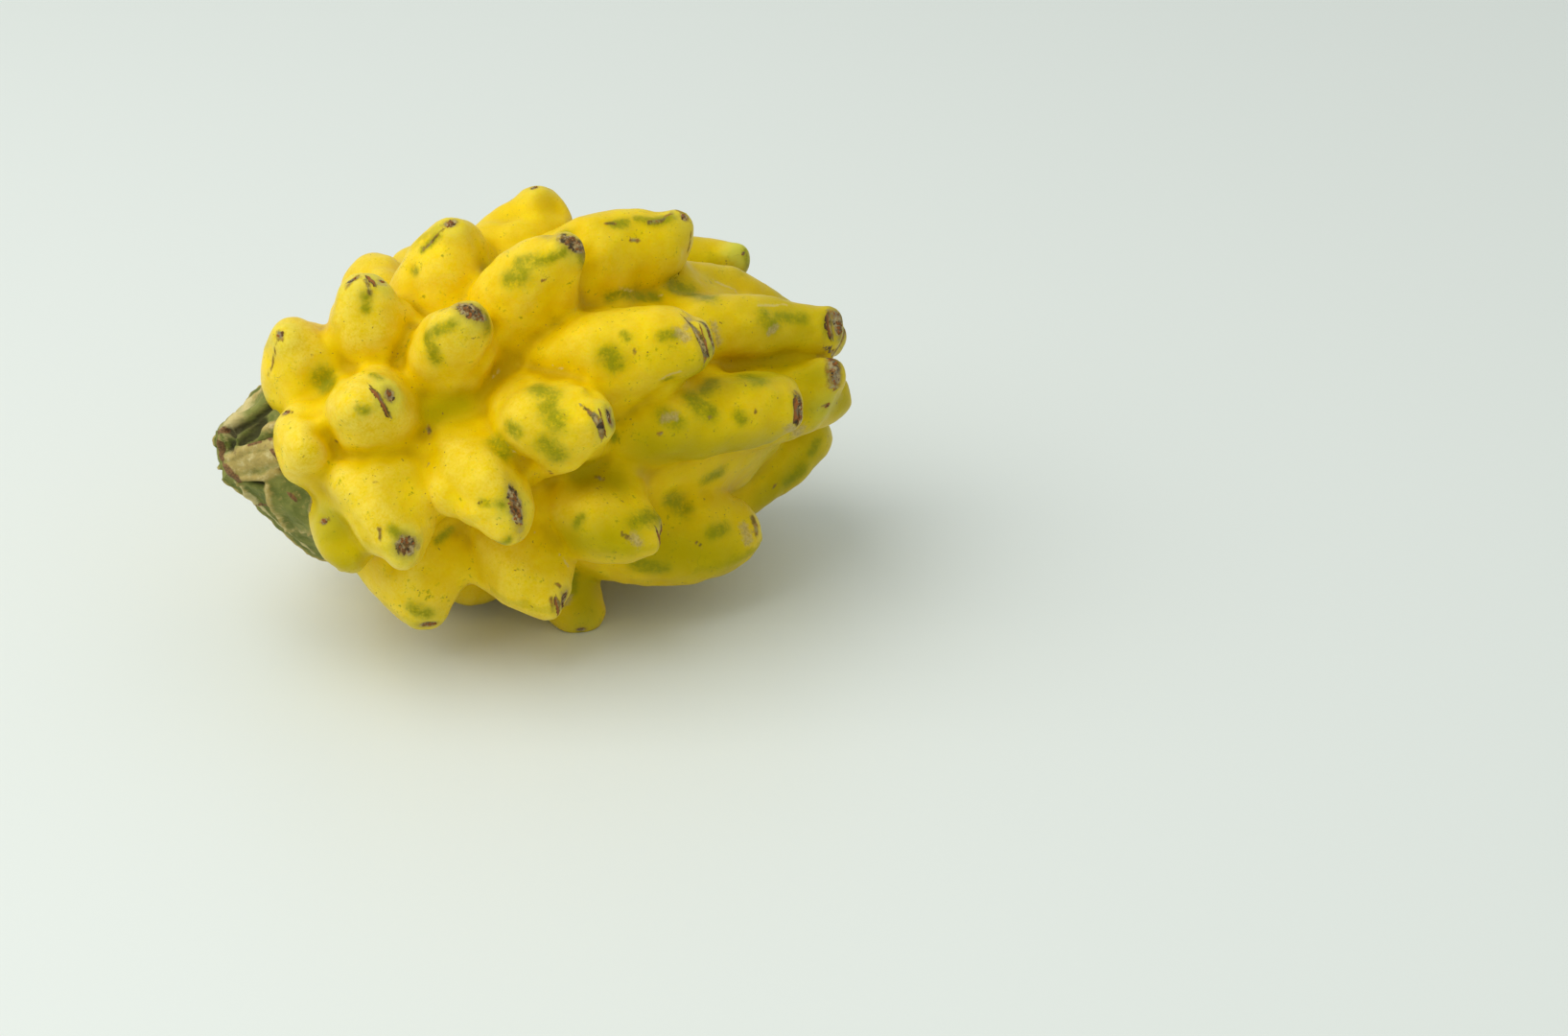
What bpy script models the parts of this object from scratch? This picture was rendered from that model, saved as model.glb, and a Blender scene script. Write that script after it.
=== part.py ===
"""A whole yellow dragon fruit, as picked, lying on its side on the plane z = 0.

The fruit's axis runs along X. The piece of cactus stem that was cut off with the fruit is at -X
and the blossom end is at +X. The fruit grew as one piece, so its body and all its tubercles are
one solid. The stem piece is the second. Lengths are in metres and angles in degrees.

A station is a place along the axis. A turn is a place round it: 0 faces -Y and 90 faces up.
"""

import math
import random
from collections import namedtuple

import bmesh
import bpy
from mathutils import Matrix, Vector

MM = 0.001

# The axis lies this high above the surface that the fruit rests on. Along the axis and across it,
# the model is moved by these, so that the origin is under the middle of its box.
AXIS_HEIGHT = 28.5 * MM
MOVED_ALONG = 0.82 * MM
MOVED_ACROSS = -0.48 * MM

# The body is egg-shaped. The tubercles' tips lie on a larger egg.
BODY_RADIUS = 22.5 * MM
BODY_STEM_END = -40.0 * MM
BODY_BLOSSOM_END = 40.5 * MM
TIP_RADIUS = 32.3 * MM
TIP_STEM_END = -46.8 * MM
TIP_BLOSSOM_END = 48.5 * MM
STEM_HALF_FULLNESS = 0.42
BLOSSOM_HALF_FULLNESS = 0.46
TIP_FULLNESS = 0.5

# The flower left a shallow crater at the blossom end, with a dried stub in it.
CRATER_PROFILE = [(35.5 * MM, 11.0 * MM), (36.2 * MM, 9.0 * MM), (35.0 * MM, 6.5 * MM), (34.0 * MM, 3.5 * MM)]
STUB_RADIUS = 2.6 * MM
STUB_TIP_RADIUS = 1.56 * MM
STUB_FOOT = 30.0 * MM
STUB_SHOULDER = 36.4 * MM
STUB_END = 38.0 * MM

# Tubercles stand in opposite pairs, each pair a level. Each level is one rise further along the
# axis and one level turn further round it. Levels nearest the stem crowd together.
FIRST_LEVEL = -9
LAST_LEVEL = 14
LEVEL_0_STATION = -16.1 * MM
LEVEL_0_TURN = 53.1
LEVEL_RISE = 3.165 * MM
LEVEL_TURN = 49.0
CROWDED_BEFORE = -33.0 * MM
CROWDED_RISE = 0.5
SEED = 7
LOOSE_STATION = 1.0 * MM
LOOSE_TURN = 4.0
LOOSE_SIZE = 0.05
USUAL_SIZE = 1.1

# How a tubercle's shape changes along the fruit, in mm: reach is how far its tip lies beyond its
# foot, foot and top are half widths (round the fruit, then along it), and back is how far the
# foot spreads towards the stem. Finger is 0 for a mound and 1 for a finger that lies along the body.
Shape = namedtuple("Shape", "station reach foot_round foot_along top_round top_along back finger blunt")
SHAPES = [
    Shape(-38, -2.0, 6.4, 6.4, 3.4, 4.0, 0.0, 0.0, 4.5),
    Shape(-33, -1.0, 7.0, 7.0, 3.4, 4.0, -0.3, 0.0, 4.5),
    Shape(-28, 0.5, 7.4, 7.6, 3.2, 4.0, -0.6, 0.0, 4.5),
    Shape(-15, 1.8, 7.2, 8.0, 3.2, 4.2, -1.2, 0.0, 4.5),
    Shape(-3, 5.0, 7.6, 9.4, 3.6, 4.2, -1.8, 0.0, 4.5),
    Shape(4, 6.5, 8.0, 10.6, 4.0, 4.2, -2.4, 0.0, 4.5),
    Shape(8, 10.0, 8.0, 11.2, 4.6, 4.4, -3.0, 0.3, 4.5),
    Shape(12, 12.5, 7.6, 10.8, 4.6, 4.2, -3.4, 0.6, 5.0),
    Shape(17, 16.0, 7.0, 10.2, 4.6, 4.2, -4.0, 0.9, 6.0),
    Shape(21, 22.5, 6.6, 9.6, 4.4, 4.2, -4.0, 1.0, 7.0),
    Shape(27, 19.0, 5.4, 6.5, 4.1, 3.8, -2.8, 1.0, 7.0),
    Shape(32, 14.0, 4.8, 4.8, 3.9, 3.6, -2.0, 1.0, 7.0),
]

# Each tubercle as it differs from the rule, by (level, side): station, turn, reach, size and lift.
# Lift raises the tip off the egg that the tips lie on, and sweep turns the foot on from the tip.
# Lengths are in mm.
Change = namedtuple("Change", "station turn reach size lift sweep", defaults=[0.0])
CHANGES = {
    (-9, "a"): Change(5.4, 6, 1.0, 0.95, -0.5),
    (-8, "a"): Change(0.8, 10, 0.0, 0.92, 0.0),
    (-7, "a"): Change(1.4, 13, 0.4, 1.12, -0.8),
    (-6, "a"): Change(3.5, 12, 1.0, 0.85, -6.5),
    (-6, "b"): Change(2.5, 0, 1.0, 0.9, -7.5),
    (-5, "a"): Change(0.5, 0, 0.0, 0.95, -4.5),
    (-5, "b"): Change(2.8, 2, 1.6, 1.2, 1.0, 13),
    (-4, "b"): Change(-0.5, 2, -0.5, 1.0, 0.0),
    (-3, "a"): Change(4.8, -6, 0.0, 0.9, 0.0),
    (-3, "b"): Change(0.2, -8, -0.7, 1.05, -0.2),
    (-2, "a"): Change(0.7, -6, 0.0, 1.42, -2.8),
    (-2, "b"): Change(3.7, 8, 3.0, 1.15, -3.0),
    (-1, "a"): Change(2.2, -8, 1.8, 1.05, 1.0, 13),
    (0, "a"): Change(-0.5, 1, 0.0, 0.95, 0.3),
    (1, "a"): Change(1.4, -7, 1.0, 1.2, -3.8),
    (1, "b"): Change(0.0, 0, 1.0, 0.95, -3.0),
    (2, "b"): Change(0.0, -3, -0.5, 1.08, 0.0),
    (3, "b"): Change(0.6, 1, 1.3, 1.14, 0.0),
    (4, "b"): Change(0.0, -1, -0.5, 1.0, 0.0),
    (5, "a"): Change(-1.0, 0, -1.2, 0.76, 0.0),
    (5, "b"): Change(1.2, -8, 1.8, 0.98, -3.6),
    (6, "a"): Change(-1.5, -2, -1.0, 1.0, -1.0),
    (7, "a"): Change(0.5, 2, 1.8, 1.1, 0.3),
    (8, "a"): Change(-2.5, -4, 6.4, 1.0, -3.2),
    (8, "b"): Change(0.0, -9, -2.0, 0.88, 0.0),
    (9, "a"): Change(4.0, 0, 6.0, 0.7, -1.5),
    (10, "b"): Change(0.0, 10, 0.0, 1.05, 1.5),
    (11, "b"): Change(2.5, -14, -0.6, 0.9, -0.3, 13),
    (12, "b"): Change(1.0, -12, -1.0, 0.65, -9.5),
    (13, "a"): Change(1.0, 29, -2.5, 0.85, 0.0),
    (13, "b"): Change(0.0, 0, -1.0, 0.8, -8.0),
    (14, "a"): Change(0.0, -5, -5.3, 0.95, 0.5),
}
# These would stand where the stem piece is.
MISSING = {(-9, "b"), (-8, "b"), (-7, "b")}
# The fruit rests on these three. Their tips stand so little above the surface that their blunt ends
# are cut flat there. The tips of all others stand higher.
RESTING = {(-3, "a"), (5, "a"), (8, "b")}
TIP_ABOVE = 0.2 * MM
CLEARANCE = 6.0 * MM

# A tubercle's spine runs from a root inside the body past a knee to the tip. The knee's height is
# a share of the tip's, first for a mound and then for a finger, and so is how far it reaches on.
ROOT_DEPTH = 8.0 * MM
FINGER_ROOT_BACK = 0.25
FINGER_TIP_INSET = 0.8
KNEE_HEIGHT = (0.6, 0.05)
KNEE_REACH = (0.1, 0.35)
STEEPEST_SLOPE = 1.2
TUBERCLE_SIDES = 24
TUBERCLE_RINGS = 14
RINGS_CROWD_TO_TIP = 1.7
TAPER = 1.1
END_ROUNDS_AFTER = 2.2
BODY_SIDES = 48
BODY_RINGS = 36
STUB_SIDES = 16

# The joined fruit is given even faces, softened in its valleys and thinned to few triangles.
VOXEL = 0.8 * MM
SOFTENING = 7
FRUIT_TRIANGLES = 10000

# The stem piece is a shrunken cap with ridges along it. Its sections, in mm: station, height of
# the centre above the axis, half height and half width.
STEM_SECTIONS = [
    (-37.4, -1.3, 13.6, 13.2),
    (-38.8, -0.9, 13.3, 12.7),
    (-40.5, -0.1, 12.2, 11.6),
    (-42.5, 0.8, 10.0, 9.8),
    (-44.5, 1.7, 7.8, 7.8),
    (-46.5, 2.3, 6.2, 6.0),
    (-47.8, 2.4, 5.0, 4.8),
    (-48.4, 2.4, 4.2, 4.0),
    (-48.0, 2.4, 3.2, 3.0),
    (-47.2, 2.4, 1.6, 1.5),
]
STEM_SIDES = 60
STEM_RIDGES = 6
STEM_RIDGE_TURN = 30.0
STEM_RIDGE_SHARPNESS = 2.5
STEM_HOLLOW = 0.15
STEM_ROUGHNESS = 0.012
# Low on the viewer's side its edge runs on over the fruit as a skirt, and flares out.
STEM_SKIRT = 6.2 * MM
STEM_SKIRT_TURN = -45.0
STEM_SKIRT_FROM = -43.0
STEM_SKIRT_TO = -37.0
STEM_FLARE = 5.0 * MM
STEM_GAP = 0.35 * MM

MOVE = Vector((MOVED_ALONG, MOVED_ACROSS, AXIS_HEIGHT))

YELLOW = (0.74, 0.53, 0.03, 1.0)
GREEN = (0.10, 0.15, 0.06, 1.0)


def mix(low, high, share):
    """The value that lies at share between low and high."""
    return low + (high - low) * share


def outward_at(turn):
    """The direction from the axis to a turn."""
    return Vector((0, -math.cos(math.radians(turn)), math.sin(math.radians(turn))))


def around_at(turn):
    """The direction round the axis at a turn."""
    return Vector((0, math.sin(math.radians(turn)), math.cos(math.radians(turn))))


def egg_radius(station, radius, stem_end, blossom_end, fullness):
    """The radius of an egg that runs from stem_end to blossom_end."""
    share = (station - stem_end) / (blossom_end - stem_end)
    share = min(max(share, 0.0), 1.0)
    return radius * (4 * share * (1 - share)) ** fullness


def body_radius(station):
    fullness = STEM_HALF_FULLNESS if station < 0 else BLOSSOM_HALF_FULLNESS
    return egg_radius(station, BODY_RADIUS, BODY_STEM_END, BODY_BLOSSOM_END, fullness)


def tip_radius(station):
    return egg_radius(station, TIP_RADIUS, TIP_STEM_END, TIP_BLOSSOM_END, TIP_FULLNESS)


def body_normal(station, turn):
    """The direction straight out of the body's surface, which leans no more than about 50 degrees."""
    step = 0.5 * MM
    slope = (body_radius(station + step) - body_radius(station - step)) / (2 * step)
    slope = min(max(slope, -STEEPEST_SLOPE), STEEPEST_SLOPE)
    return (outward_at(turn) - Vector((slope, 0, 0))).normalized()


def level_station(level):
    station = LEVEL_0_STATION + LEVEL_RISE * level
    if station < CROWDED_BEFORE:
        station = CROWDED_BEFORE + (station - CROWDED_BEFORE) * CROWDED_RISE
    return station


def shape_at(station):
    """The shape of a tubercle whose foot is at a station, read between the rows of SHAPES."""
    place = min(max(station / MM, SHAPES[0].station), SHAPES[-1].station)
    for low, high in zip(SHAPES, SHAPES[1:]):
        if place <= high.station:
            share = (place - low.station) / (high.station - low.station)
            return Shape(*(mix(a, b, share) for a, b in zip(low, high)))
    return SHAPES[-1]


def tubercles():
    """Yields the level, side and change of every tubercle."""
    chance = random.Random(SEED)
    for level in range(FIRST_LEVEL, LAST_LEVEL + 1):
        for side in "ab":
            loose = Change(
                chance.uniform(-1, 1) * LOOSE_STATION / MM,
                chance.uniform(-1, 1) * LOOSE_TURN,
                chance.uniform(-1, 1),
                USUAL_SIZE + chance.uniform(-1, 1) * LOOSE_SIZE,
                chance.uniform(-1, 0),
            )
            if (level, side) not in MISSING:
                yield level, side, CHANGES.get((level, side), loose)


def tip_of(level, side, tip_station, turn, lift, inset):
    """The tip of a tubercle. One that points down ends a little above the surface, or well above it."""
    reach_out = tip_radius(tip_station) + lift - inset
    fall = -math.sin(math.radians(turn))
    if (level, side) in RESTING:
        reach_out = (AXIS_HEIGHT - TIP_ABOVE) / fall - inset
    elif fall > 0:
        reach_out = min(reach_out, (AXIS_HEIGHT - CLEARANCE) / fall)
    return Vector((tip_station, 0, 0)) + outward_at(turn) * reach_out


def ring(bm, centre, across, up, width, height, sides):
    """Adds one closed ring of points, an ellipse around centre."""
    points = []
    for side in range(sides):
        angle = math.tau * side / sides
        offset = across * width * math.cos(angle) + up * height * math.sin(angle)
        points.append(bm.verts.new(centre + offset))
    return points


def skin_rings(bm, rings):
    """Joins neighbouring rings with faces and closes both ends."""
    for low, high in zip(rings, rings[1:]):
        for side in range(len(low)):
            after = (side + 1) % len(low)
            bm.faces.new((low[side], low[after], high[after], high[side]))
    bm.faces.new(list(reversed(rings[0])))
    bm.faces.new(rings[-1])


def object_of(bm, name, collection):
    """Makes an object from bm, with its faces pointing out."""
    bmesh.ops.recalc_face_normals(bm, faces=bm.faces)
    mesh = bpy.data.meshes.new(name)
    bm.to_mesh(mesh)
    bm.free()
    made = bpy.data.objects.new(name, mesh)
    collection.objects.link(made)
    return made


def turned_solid(name, profile, sides, collection):
    """A solid turned about the axis, from its profile of (station, radius)."""
    bm = bmesh.new()
    rings = []
    for station, radius in profile:
        centre = Vector((station, 0, 0))
        rings.append(ring(bm, centre, Vector((0, 1, 0)), Vector((0, 0, 1)), radius, radius, sides))
    skin_rings(bm, rings)
    return object_of(bm, name, collection)


def make_body(collection):
    """The bare body, an egg with a crater at its blossom end."""
    profile = []
    crater_edge = CRATER_PROFILE[0][0]
    for step in range(1, BODY_RINGS):
        share = (1 - math.cos(math.pi * step / BODY_RINGS)) / 2
        station = mix(BODY_STEM_END, BODY_BLOSSOM_END, share)
        if station < crater_edge:
            profile.append((station, body_radius(station)))
    return turned_solid("fruit", profile + CRATER_PROFILE, BODY_SIDES, collection)


def make_tubercle(level, side, change, collection):
    """One tubercle: a skewed cone with a rounded end.

    Its spine leaves the body straight out and bends towards the tip, and its rings stand across it.
    """
    station = level_station(level) + change.station * MM
    side_turn = 0 if side == "a" else 180
    turn = LEVEL_0_TURN + LEVEL_TURN * level + side_turn + change.turn
    shape = shape_at(station)
    reach = (shape.reach + change.reach) * MM
    size = change.size * MM

    foot_station = station + shape.back * MM
    normal = body_normal(station, turn + change.sweep)
    foot = Vector((foot_station, 0, 0)) + outward_at(turn + change.sweep) * body_radius(foot_station)
    root = foot - normal * ROOT_DEPTH - Vector((reach * FINGER_ROOT_BACK * shape.finger, 0, 0))
    inset = shape.finger * FINGER_TIP_INSET * shape.top_along * size
    tip = tip_of(level, side, station + reach, turn, change.lift * MM, inset)
    height = tip_radius(station) + change.lift * MM - body_radius(station)
    knee = foot + normal * mix(*KNEE_HEIGHT, shape.finger) * height
    knee += Vector((reach * mix(*KNEE_REACH, shape.finger), 0, 0))

    bm = bmesh.new()
    rings = []
    for step in range(TUBERCLE_RINGS):
        share = 1 - (1 - step / TUBERCLE_RINGS) ** RINGS_CROWD_TO_TIP
        low = root.lerp(knee, share)
        high = knee.lerp(tip, share)
        direction = (high - low).normalized()
        across = around_at(turn)
        up = direction.cross(across).normalized()
        rounding = (1 - share ** (END_ROUNDS_AFTER * shape.blunt)) ** (1 / shape.blunt)
        width = mix(shape.foot_round, shape.top_round, share**TAPER) * size * rounding
        length = mix(shape.foot_along, shape.top_along, share**TAPER) * size * rounding
        rings.append(ring(bm, low.lerp(high, share), across, up, width, length, TUBERCLE_SIDES))
    skin_rings(bm, rings)
    return object_of(bm, f"tubercle_{level}{side}", collection)


def apply_modifiers(made):
    """Bakes an object's modifiers into its mesh."""
    bpy.context.view_layer.objects.active = made
    for modifier in list(made.modifiers):
        bpy.ops.object.modifier_apply(modifier=modifier.name)


def join_all(made, collection):
    """Joins a collection's objects to one object by a Boolean union, and removes them."""
    union = made.modifiers.new("join", "BOOLEAN")
    union.operation = "UNION"
    union.operand_type = "COLLECTION"
    union.collection = collection
    union.solver = "MANIFOLD"
    apply_modifiers(made)
    for joined in list(collection.objects):
        bpy.data.objects.remove(joined)
    bpy.data.collections.remove(collection)


def triangle_count(made):
    return sum(len(face.vertices) - 2 for face in made.data.polygons)


def soften(made):
    """Gives an object even faces and softens its edges and valleys."""
    even = made.modifiers.new("even_faces", "REMESH")
    even.mode = "VOXEL"
    even.voxel_size = VOXEL
    soft = made.modifiers.new("soft_valleys", "SMOOTH")
    soft.factor = 0.5
    soft.iterations = SOFTENING
    apply_modifiers(made)


def thin_out(made, triangles):
    """Leaves about this many triangles."""
    fewer = made.modifiers.new("fewer_faces", "DECIMATE")
    fewer.ratio = triangles / triangle_count(made)
    apply_modifiers(made)


def cut_flat(made):
    """Cuts away what is below z = 0 and closes the cut with flat faces."""
    bm = bmesh.new()
    bm.from_mesh(made.data)
    everything = bm.verts[:] + bm.edges[:] + bm.faces[:]
    bmesh.ops.bisect_plane(
        bm, geom=everything, dist=1e-6, plane_co=(0, 0, 0), plane_no=(0, 0, 1), clear_inner=True
    )
    open_edges = [edge for edge in bm.edges if edge.is_boundary]
    bmesh.ops.holes_fill(bm, edges=open_edges, sides=0)
    bmesh.ops.recalc_face_normals(bm, faces=bm.faces)
    bm.to_mesh(made.data)
    bm.free()


def paint(made, name, colour, roughness):
    material = bpy.data.materials.new(name)
    material.use_nodes = True
    shader = material.node_tree.nodes["Principled BSDF"]
    shader.inputs["Base Color"].default_value = colour
    shader.inputs["Roughness"].default_value = roughness
    made.data.materials.clear()
    made.data.materials.append(material)
    made.data.shade_smooth()


def make_fruit(collection):
    """The fruit: its body, its tubercles and the dried stub of its flower, in one solid."""
    fruit = make_body(collection)
    parts = bpy.data.collections.new("tubercles")
    collection.children.link(parts)
    for level, side, change in tubercles():
        make_tubercle(level, side, change, parts)
    stub = [(STUB_FOOT, STUB_RADIUS), (STUB_SHOULDER, STUB_RADIUS), (STUB_END, STUB_TIP_RADIUS)]
    turned_solid("stub", stub, STUB_SIDES, parts)
    join_all(fruit, parts)
    soften(fruit)
    thin_out(fruit, FRUIT_TRIANGLES)
    fruit.data.transform(Matrix.Translation(MOVE))
    cut_flat(fruit)
    paint(fruit, "yellow_skin", YELLOW, 0.45)
    return fruit


def stem_point(section, turn, chance):
    """A point of the stem piece's surface at one of its sections."""
    station, height, half_height, half_width = section
    ridge = abs(math.cos(math.radians((turn - STEM_RIDGE_TURN) * STEM_RIDGES / 2))) ** STEM_RIDGE_SHARPNESS
    share = mix(1 - STEM_HOLLOW, 1.0, ridge) + chance.uniform(-STEM_ROUGHNESS, STEM_ROUGHNESS)
    outward = outward_at(turn)
    along = (station - STEM_SKIRT_FROM) / (STEM_SKIRT_TO - STEM_SKIRT_FROM)
    skirt = max(0.0, math.cos(math.radians(turn - STEM_SKIRT_TURN))) * min(max(along, 0.0), 1.0)
    y = outward.y * (half_width * MM * share + skirt * STEM_FLARE)
    z = height * MM + outward.z * (half_height * MM * share + skirt * STEM_FLARE)
    return MOVE + Vector((station * MM + skirt * STEM_SKIRT, y, z))


def make_stem_piece(fruit, collection):
    """The shrunken piece of stem. It fits the fruit's stem end with a narrow gap."""
    chance = random.Random(SEED)
    bm = bmesh.new()
    rings = []
    for section in STEM_SECTIONS:
        points = []
        for side in range(STEM_SIDES):
            points.append(bm.verts.new(stem_point(section, 360 * side / STEM_SIDES, chance)))
        rings.append(points)
    skin_rings(bm, rings)
    stem = object_of(bm, "stem_piece", collection)

    cutter = fruit.copy()
    cutter.data = fruit.data.copy()
    cutter.name = "fruit_cutter"
    collection.objects.link(cutter)
    for vertex in cutter.data.vertices:
        vertex.co += vertex.normal * STEM_GAP
    cut = stem.modifiers.new("fit_fruit", "BOOLEAN")
    cut.operation = "DIFFERENCE"
    cut.object = cutter
    apply_modifiers(stem)
    bpy.data.objects.remove(cutter)
    paint(stem, "dried_green_stem", GREEN, 0.7)
    return stem


def main():
    for made in list(bpy.data.objects):
        bpy.data.objects.remove(made)
    collection = bpy.context.scene.collection
    fruit = make_fruit(collection)
    stem = make_stem_piece(fruit, collection)
    print("fruit:", triangle_count(fruit), "triangles")
    print("stem piece:", triangle_count(stem), "triangles")


main()
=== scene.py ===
# %% [markdown]
# # A whole yellow dragon fruit
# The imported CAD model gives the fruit's size and place. This script models a finer fruit and a finer
# piece of stem in the same space, and gives them their finish. Everything is in metres. The fruit's
# axis runs along X, with the stem at -X and the blossom end at +X, and it rests on z = 0.

import math
import random
from collections import namedtuple
from contextlib import contextmanager

import bpy
import numpy as np
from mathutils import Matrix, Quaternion, Vector, noise
from mathutils.bvhtree import BVHTree


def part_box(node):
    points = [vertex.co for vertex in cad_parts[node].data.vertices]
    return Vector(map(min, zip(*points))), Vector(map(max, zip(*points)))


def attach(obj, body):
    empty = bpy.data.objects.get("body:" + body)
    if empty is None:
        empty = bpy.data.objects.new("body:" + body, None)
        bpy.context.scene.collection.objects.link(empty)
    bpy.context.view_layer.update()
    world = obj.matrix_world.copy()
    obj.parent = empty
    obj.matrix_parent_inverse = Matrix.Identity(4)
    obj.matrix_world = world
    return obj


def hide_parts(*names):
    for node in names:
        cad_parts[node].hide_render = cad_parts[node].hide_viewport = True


MM = 0.001
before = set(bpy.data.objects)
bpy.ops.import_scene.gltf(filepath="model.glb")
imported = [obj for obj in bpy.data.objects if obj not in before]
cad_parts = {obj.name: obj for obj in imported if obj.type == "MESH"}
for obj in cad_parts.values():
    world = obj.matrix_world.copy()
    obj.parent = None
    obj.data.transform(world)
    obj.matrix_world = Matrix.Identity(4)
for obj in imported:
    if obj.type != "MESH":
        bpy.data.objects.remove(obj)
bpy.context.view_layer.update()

# %% [markdown]
# The photograph was taken with a longish lens, half a metre away and a little above the fruit. The
# camera looks in the fruit's direction and is then slid sideways and up, which puts the fruit at the
# left of the picture without turning the view.

# %% Camera
PHOTO_WIDTH = 1635
PHOTO_HEIGHT = 1080
LENS = 80
SENSOR = 36
DISTANCE = 0.505
AZIMUTH = math.radians(-24)
ELEVATION = math.radians(27)
AXIS_HEIGHT = 28.5 * MM
MOVED_ALONG = 0.82 * MM
MOVED_ACROSS = -0.48 * MM
MOVE = Vector((MOVED_ALONG, MOVED_ACROSS, AXIS_HEIGHT))
# The middle of the fruit's axis is at this pixel of the photograph.
AXIS_PIXEL = (565, 425)
FOCAL_PIXELS = LENS / SENSOR * PHOTO_WIDTH

back = Vector((
    math.sin(AZIMUTH) * math.cos(ELEVATION),
    -math.cos(AZIMUTH) * math.cos(ELEVATION),
    math.sin(ELEVATION),
))
forward = -back
right = forward.cross(Vector((0, 0, 1))).normalized()
up = right.cross(forward)
camera_place = MOVE - forward * DISTANCE
camera_place -= right * (AXIS_PIXEL[0] - PHOTO_WIDTH / 2) / FOCAL_PIXELS * DISTANCE
camera_place += up * (AXIS_PIXEL[1] - PHOTO_HEIGHT / 2) / FOCAL_PIXELS * DISTANCE

bpy.ops.object.camera_add(location=camera_place)
camera = bpy.context.object
camera.name = "camera"
camera.rotation_euler = forward.to_track_quat("-Z", "Y").to_euler()
camera.data.lens = LENS
camera.data.sensor_width = SENSOR
bpy.context.scene.camera = camera
print("camera at", [round(v, 3) for v in camera_place])


def ray_direction(pixel):
    """The direction from the camera through a pixel of the photograph."""
    x = (pixel[0] - PHOTO_WIDTH / 2) / FOCAL_PIXELS
    y = (PHOTO_HEIGHT / 2 - pixel[1]) / FOCAL_PIXELS
    return (forward + right * x + up * y).normalized()


# %% [markdown]
# The fruit lies on a pale, faintly glossy table under a broad soft light from the upper left. The
# light is a large area lamp, because a large lamp gives a soft-edged shadow, and the world adds the
# even light that a white room throws back.

# %% Table and light
TABLE_COLOUR = (0.76, 0.80, 0.765, 1)
ROOM_LIGHT = (0.95, 1.0, 0.98, 1)
ROOM_STRENGTH = 0.60
LAMP_PLACE = Vector((-0.42, 0.02, 0.62))
LAMP_SIZE = 0.85
LAMP_POWER = 4.5
LAMP_COLOUR = (1.0, 0.985, 0.96)
TABLE_SIZE = 6
TABLE_ROUGHNESS = 0.42
TABLE_GLOSS = 0.3

bpy.context.scene.view_settings.view_transform = "Standard"
world = bpy.data.worlds.new("white_room")
bpy.context.scene.world = world
world.use_nodes = True
background = world.node_tree.nodes["Background"]
background.inputs["Color"].default_value = ROOM_LIGHT
background.inputs["Strength"].default_value = ROOM_STRENGTH

bpy.ops.object.light_add(type="AREA", location=LAMP_PLACE)
lamp = bpy.context.object
lamp.name = "soft_lamp"
lamp.data.size = LAMP_SIZE
lamp.data.energy = LAMP_POWER
lamp.data.color = LAMP_COLOUR
lamp.rotation_euler = (MOVE - LAMP_PLACE).to_track_quat("-Z", "Y").to_euler()

bpy.ops.mesh.primitive_plane_add(size=TABLE_SIZE)
table = bpy.context.object
table.name = "table"
table_material = bpy.data.materials.new("pale_table")
table_material.use_nodes = True
table_shader = table_material.node_tree.nodes["Principled BSDF"]
table_shader.inputs["Base Color"].default_value = TABLE_COLOUR
table_shader.inputs["Roughness"].default_value = TABLE_ROUGHNESS
table_shader.inputs["Specular IOR Level"].default_value = TABLE_GLOSS
table.data.materials.append(table_material)
print("table and", lamp.name, "made")

# %% [markdown]
# Blender's operators act on whatever is selected, and loading the frame leaves the CAD nodes
# selected. These small helpers select only what the next step is for, open it in edit mode, apply
# modifiers, join and copy, and print the size of what was made.

# %% Helpers for selecting and finishing


def only(made):
    """Selects one object and nothing else."""
    if bpy.context.mode != "OBJECT":
        bpy.ops.object.mode_set(mode="OBJECT")
    bpy.ops.object.select_all(action="DESELECT")
    made.select_set(True)
    bpy.context.view_layer.objects.active = made


@contextmanager
def editing(made):
    """Opens an object in edit mode with all of it selected, and closes it afterwards."""
    only(made)
    bpy.ops.object.mode_set(mode="EDIT")
    bpy.ops.mesh.select_all(action="SELECT")
    yield
    bpy.ops.object.mode_set(mode="OBJECT")


def apply_all(made):
    """Applies every modifier of an object."""
    only(made)
    for modifier in list(made.modifiers):
        bpy.ops.object.modifier_apply(modifier=modifier.name)


def join_to(made, others):
    """Joins the others to an object."""
    only(made)
    for other in others:
        other.select_set(True)
    bpy.ops.object.join()


def copy_of(made):
    copy = made.copy()
    copy.data = made.data.copy()
    bpy.context.collection.objects.link(copy)
    return copy


def tell(made):
    triangles = sum(len(face.vertices) - 2 for face in made.data.polygons)
    print(f"{made.name}: {triangles} triangles")


def mix(low, high, share):
    """The value that lies at share between low and high."""
    return low + (high - low) * share


def ease(value, low, high):
    """Rises smoothly from 0 at low to 1 at high, for a number or an array."""
    share = np.clip((value - low) / (high - low), 0, 1)
    return share * share * (3 - 2 * share)


# %% [markdown]
# The real fruit is an egg-shaped body under a coat of tubercles, and one smooth skin runs over both.
# The body starts as a sphere with its poles on the axis. Each of its points then keeps its station,
# which is its place along the axis, and moves out or in to the egg's radius there. At the blossom
# end the skin dips in a crater, with the dried stub of the flower in it.

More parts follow.
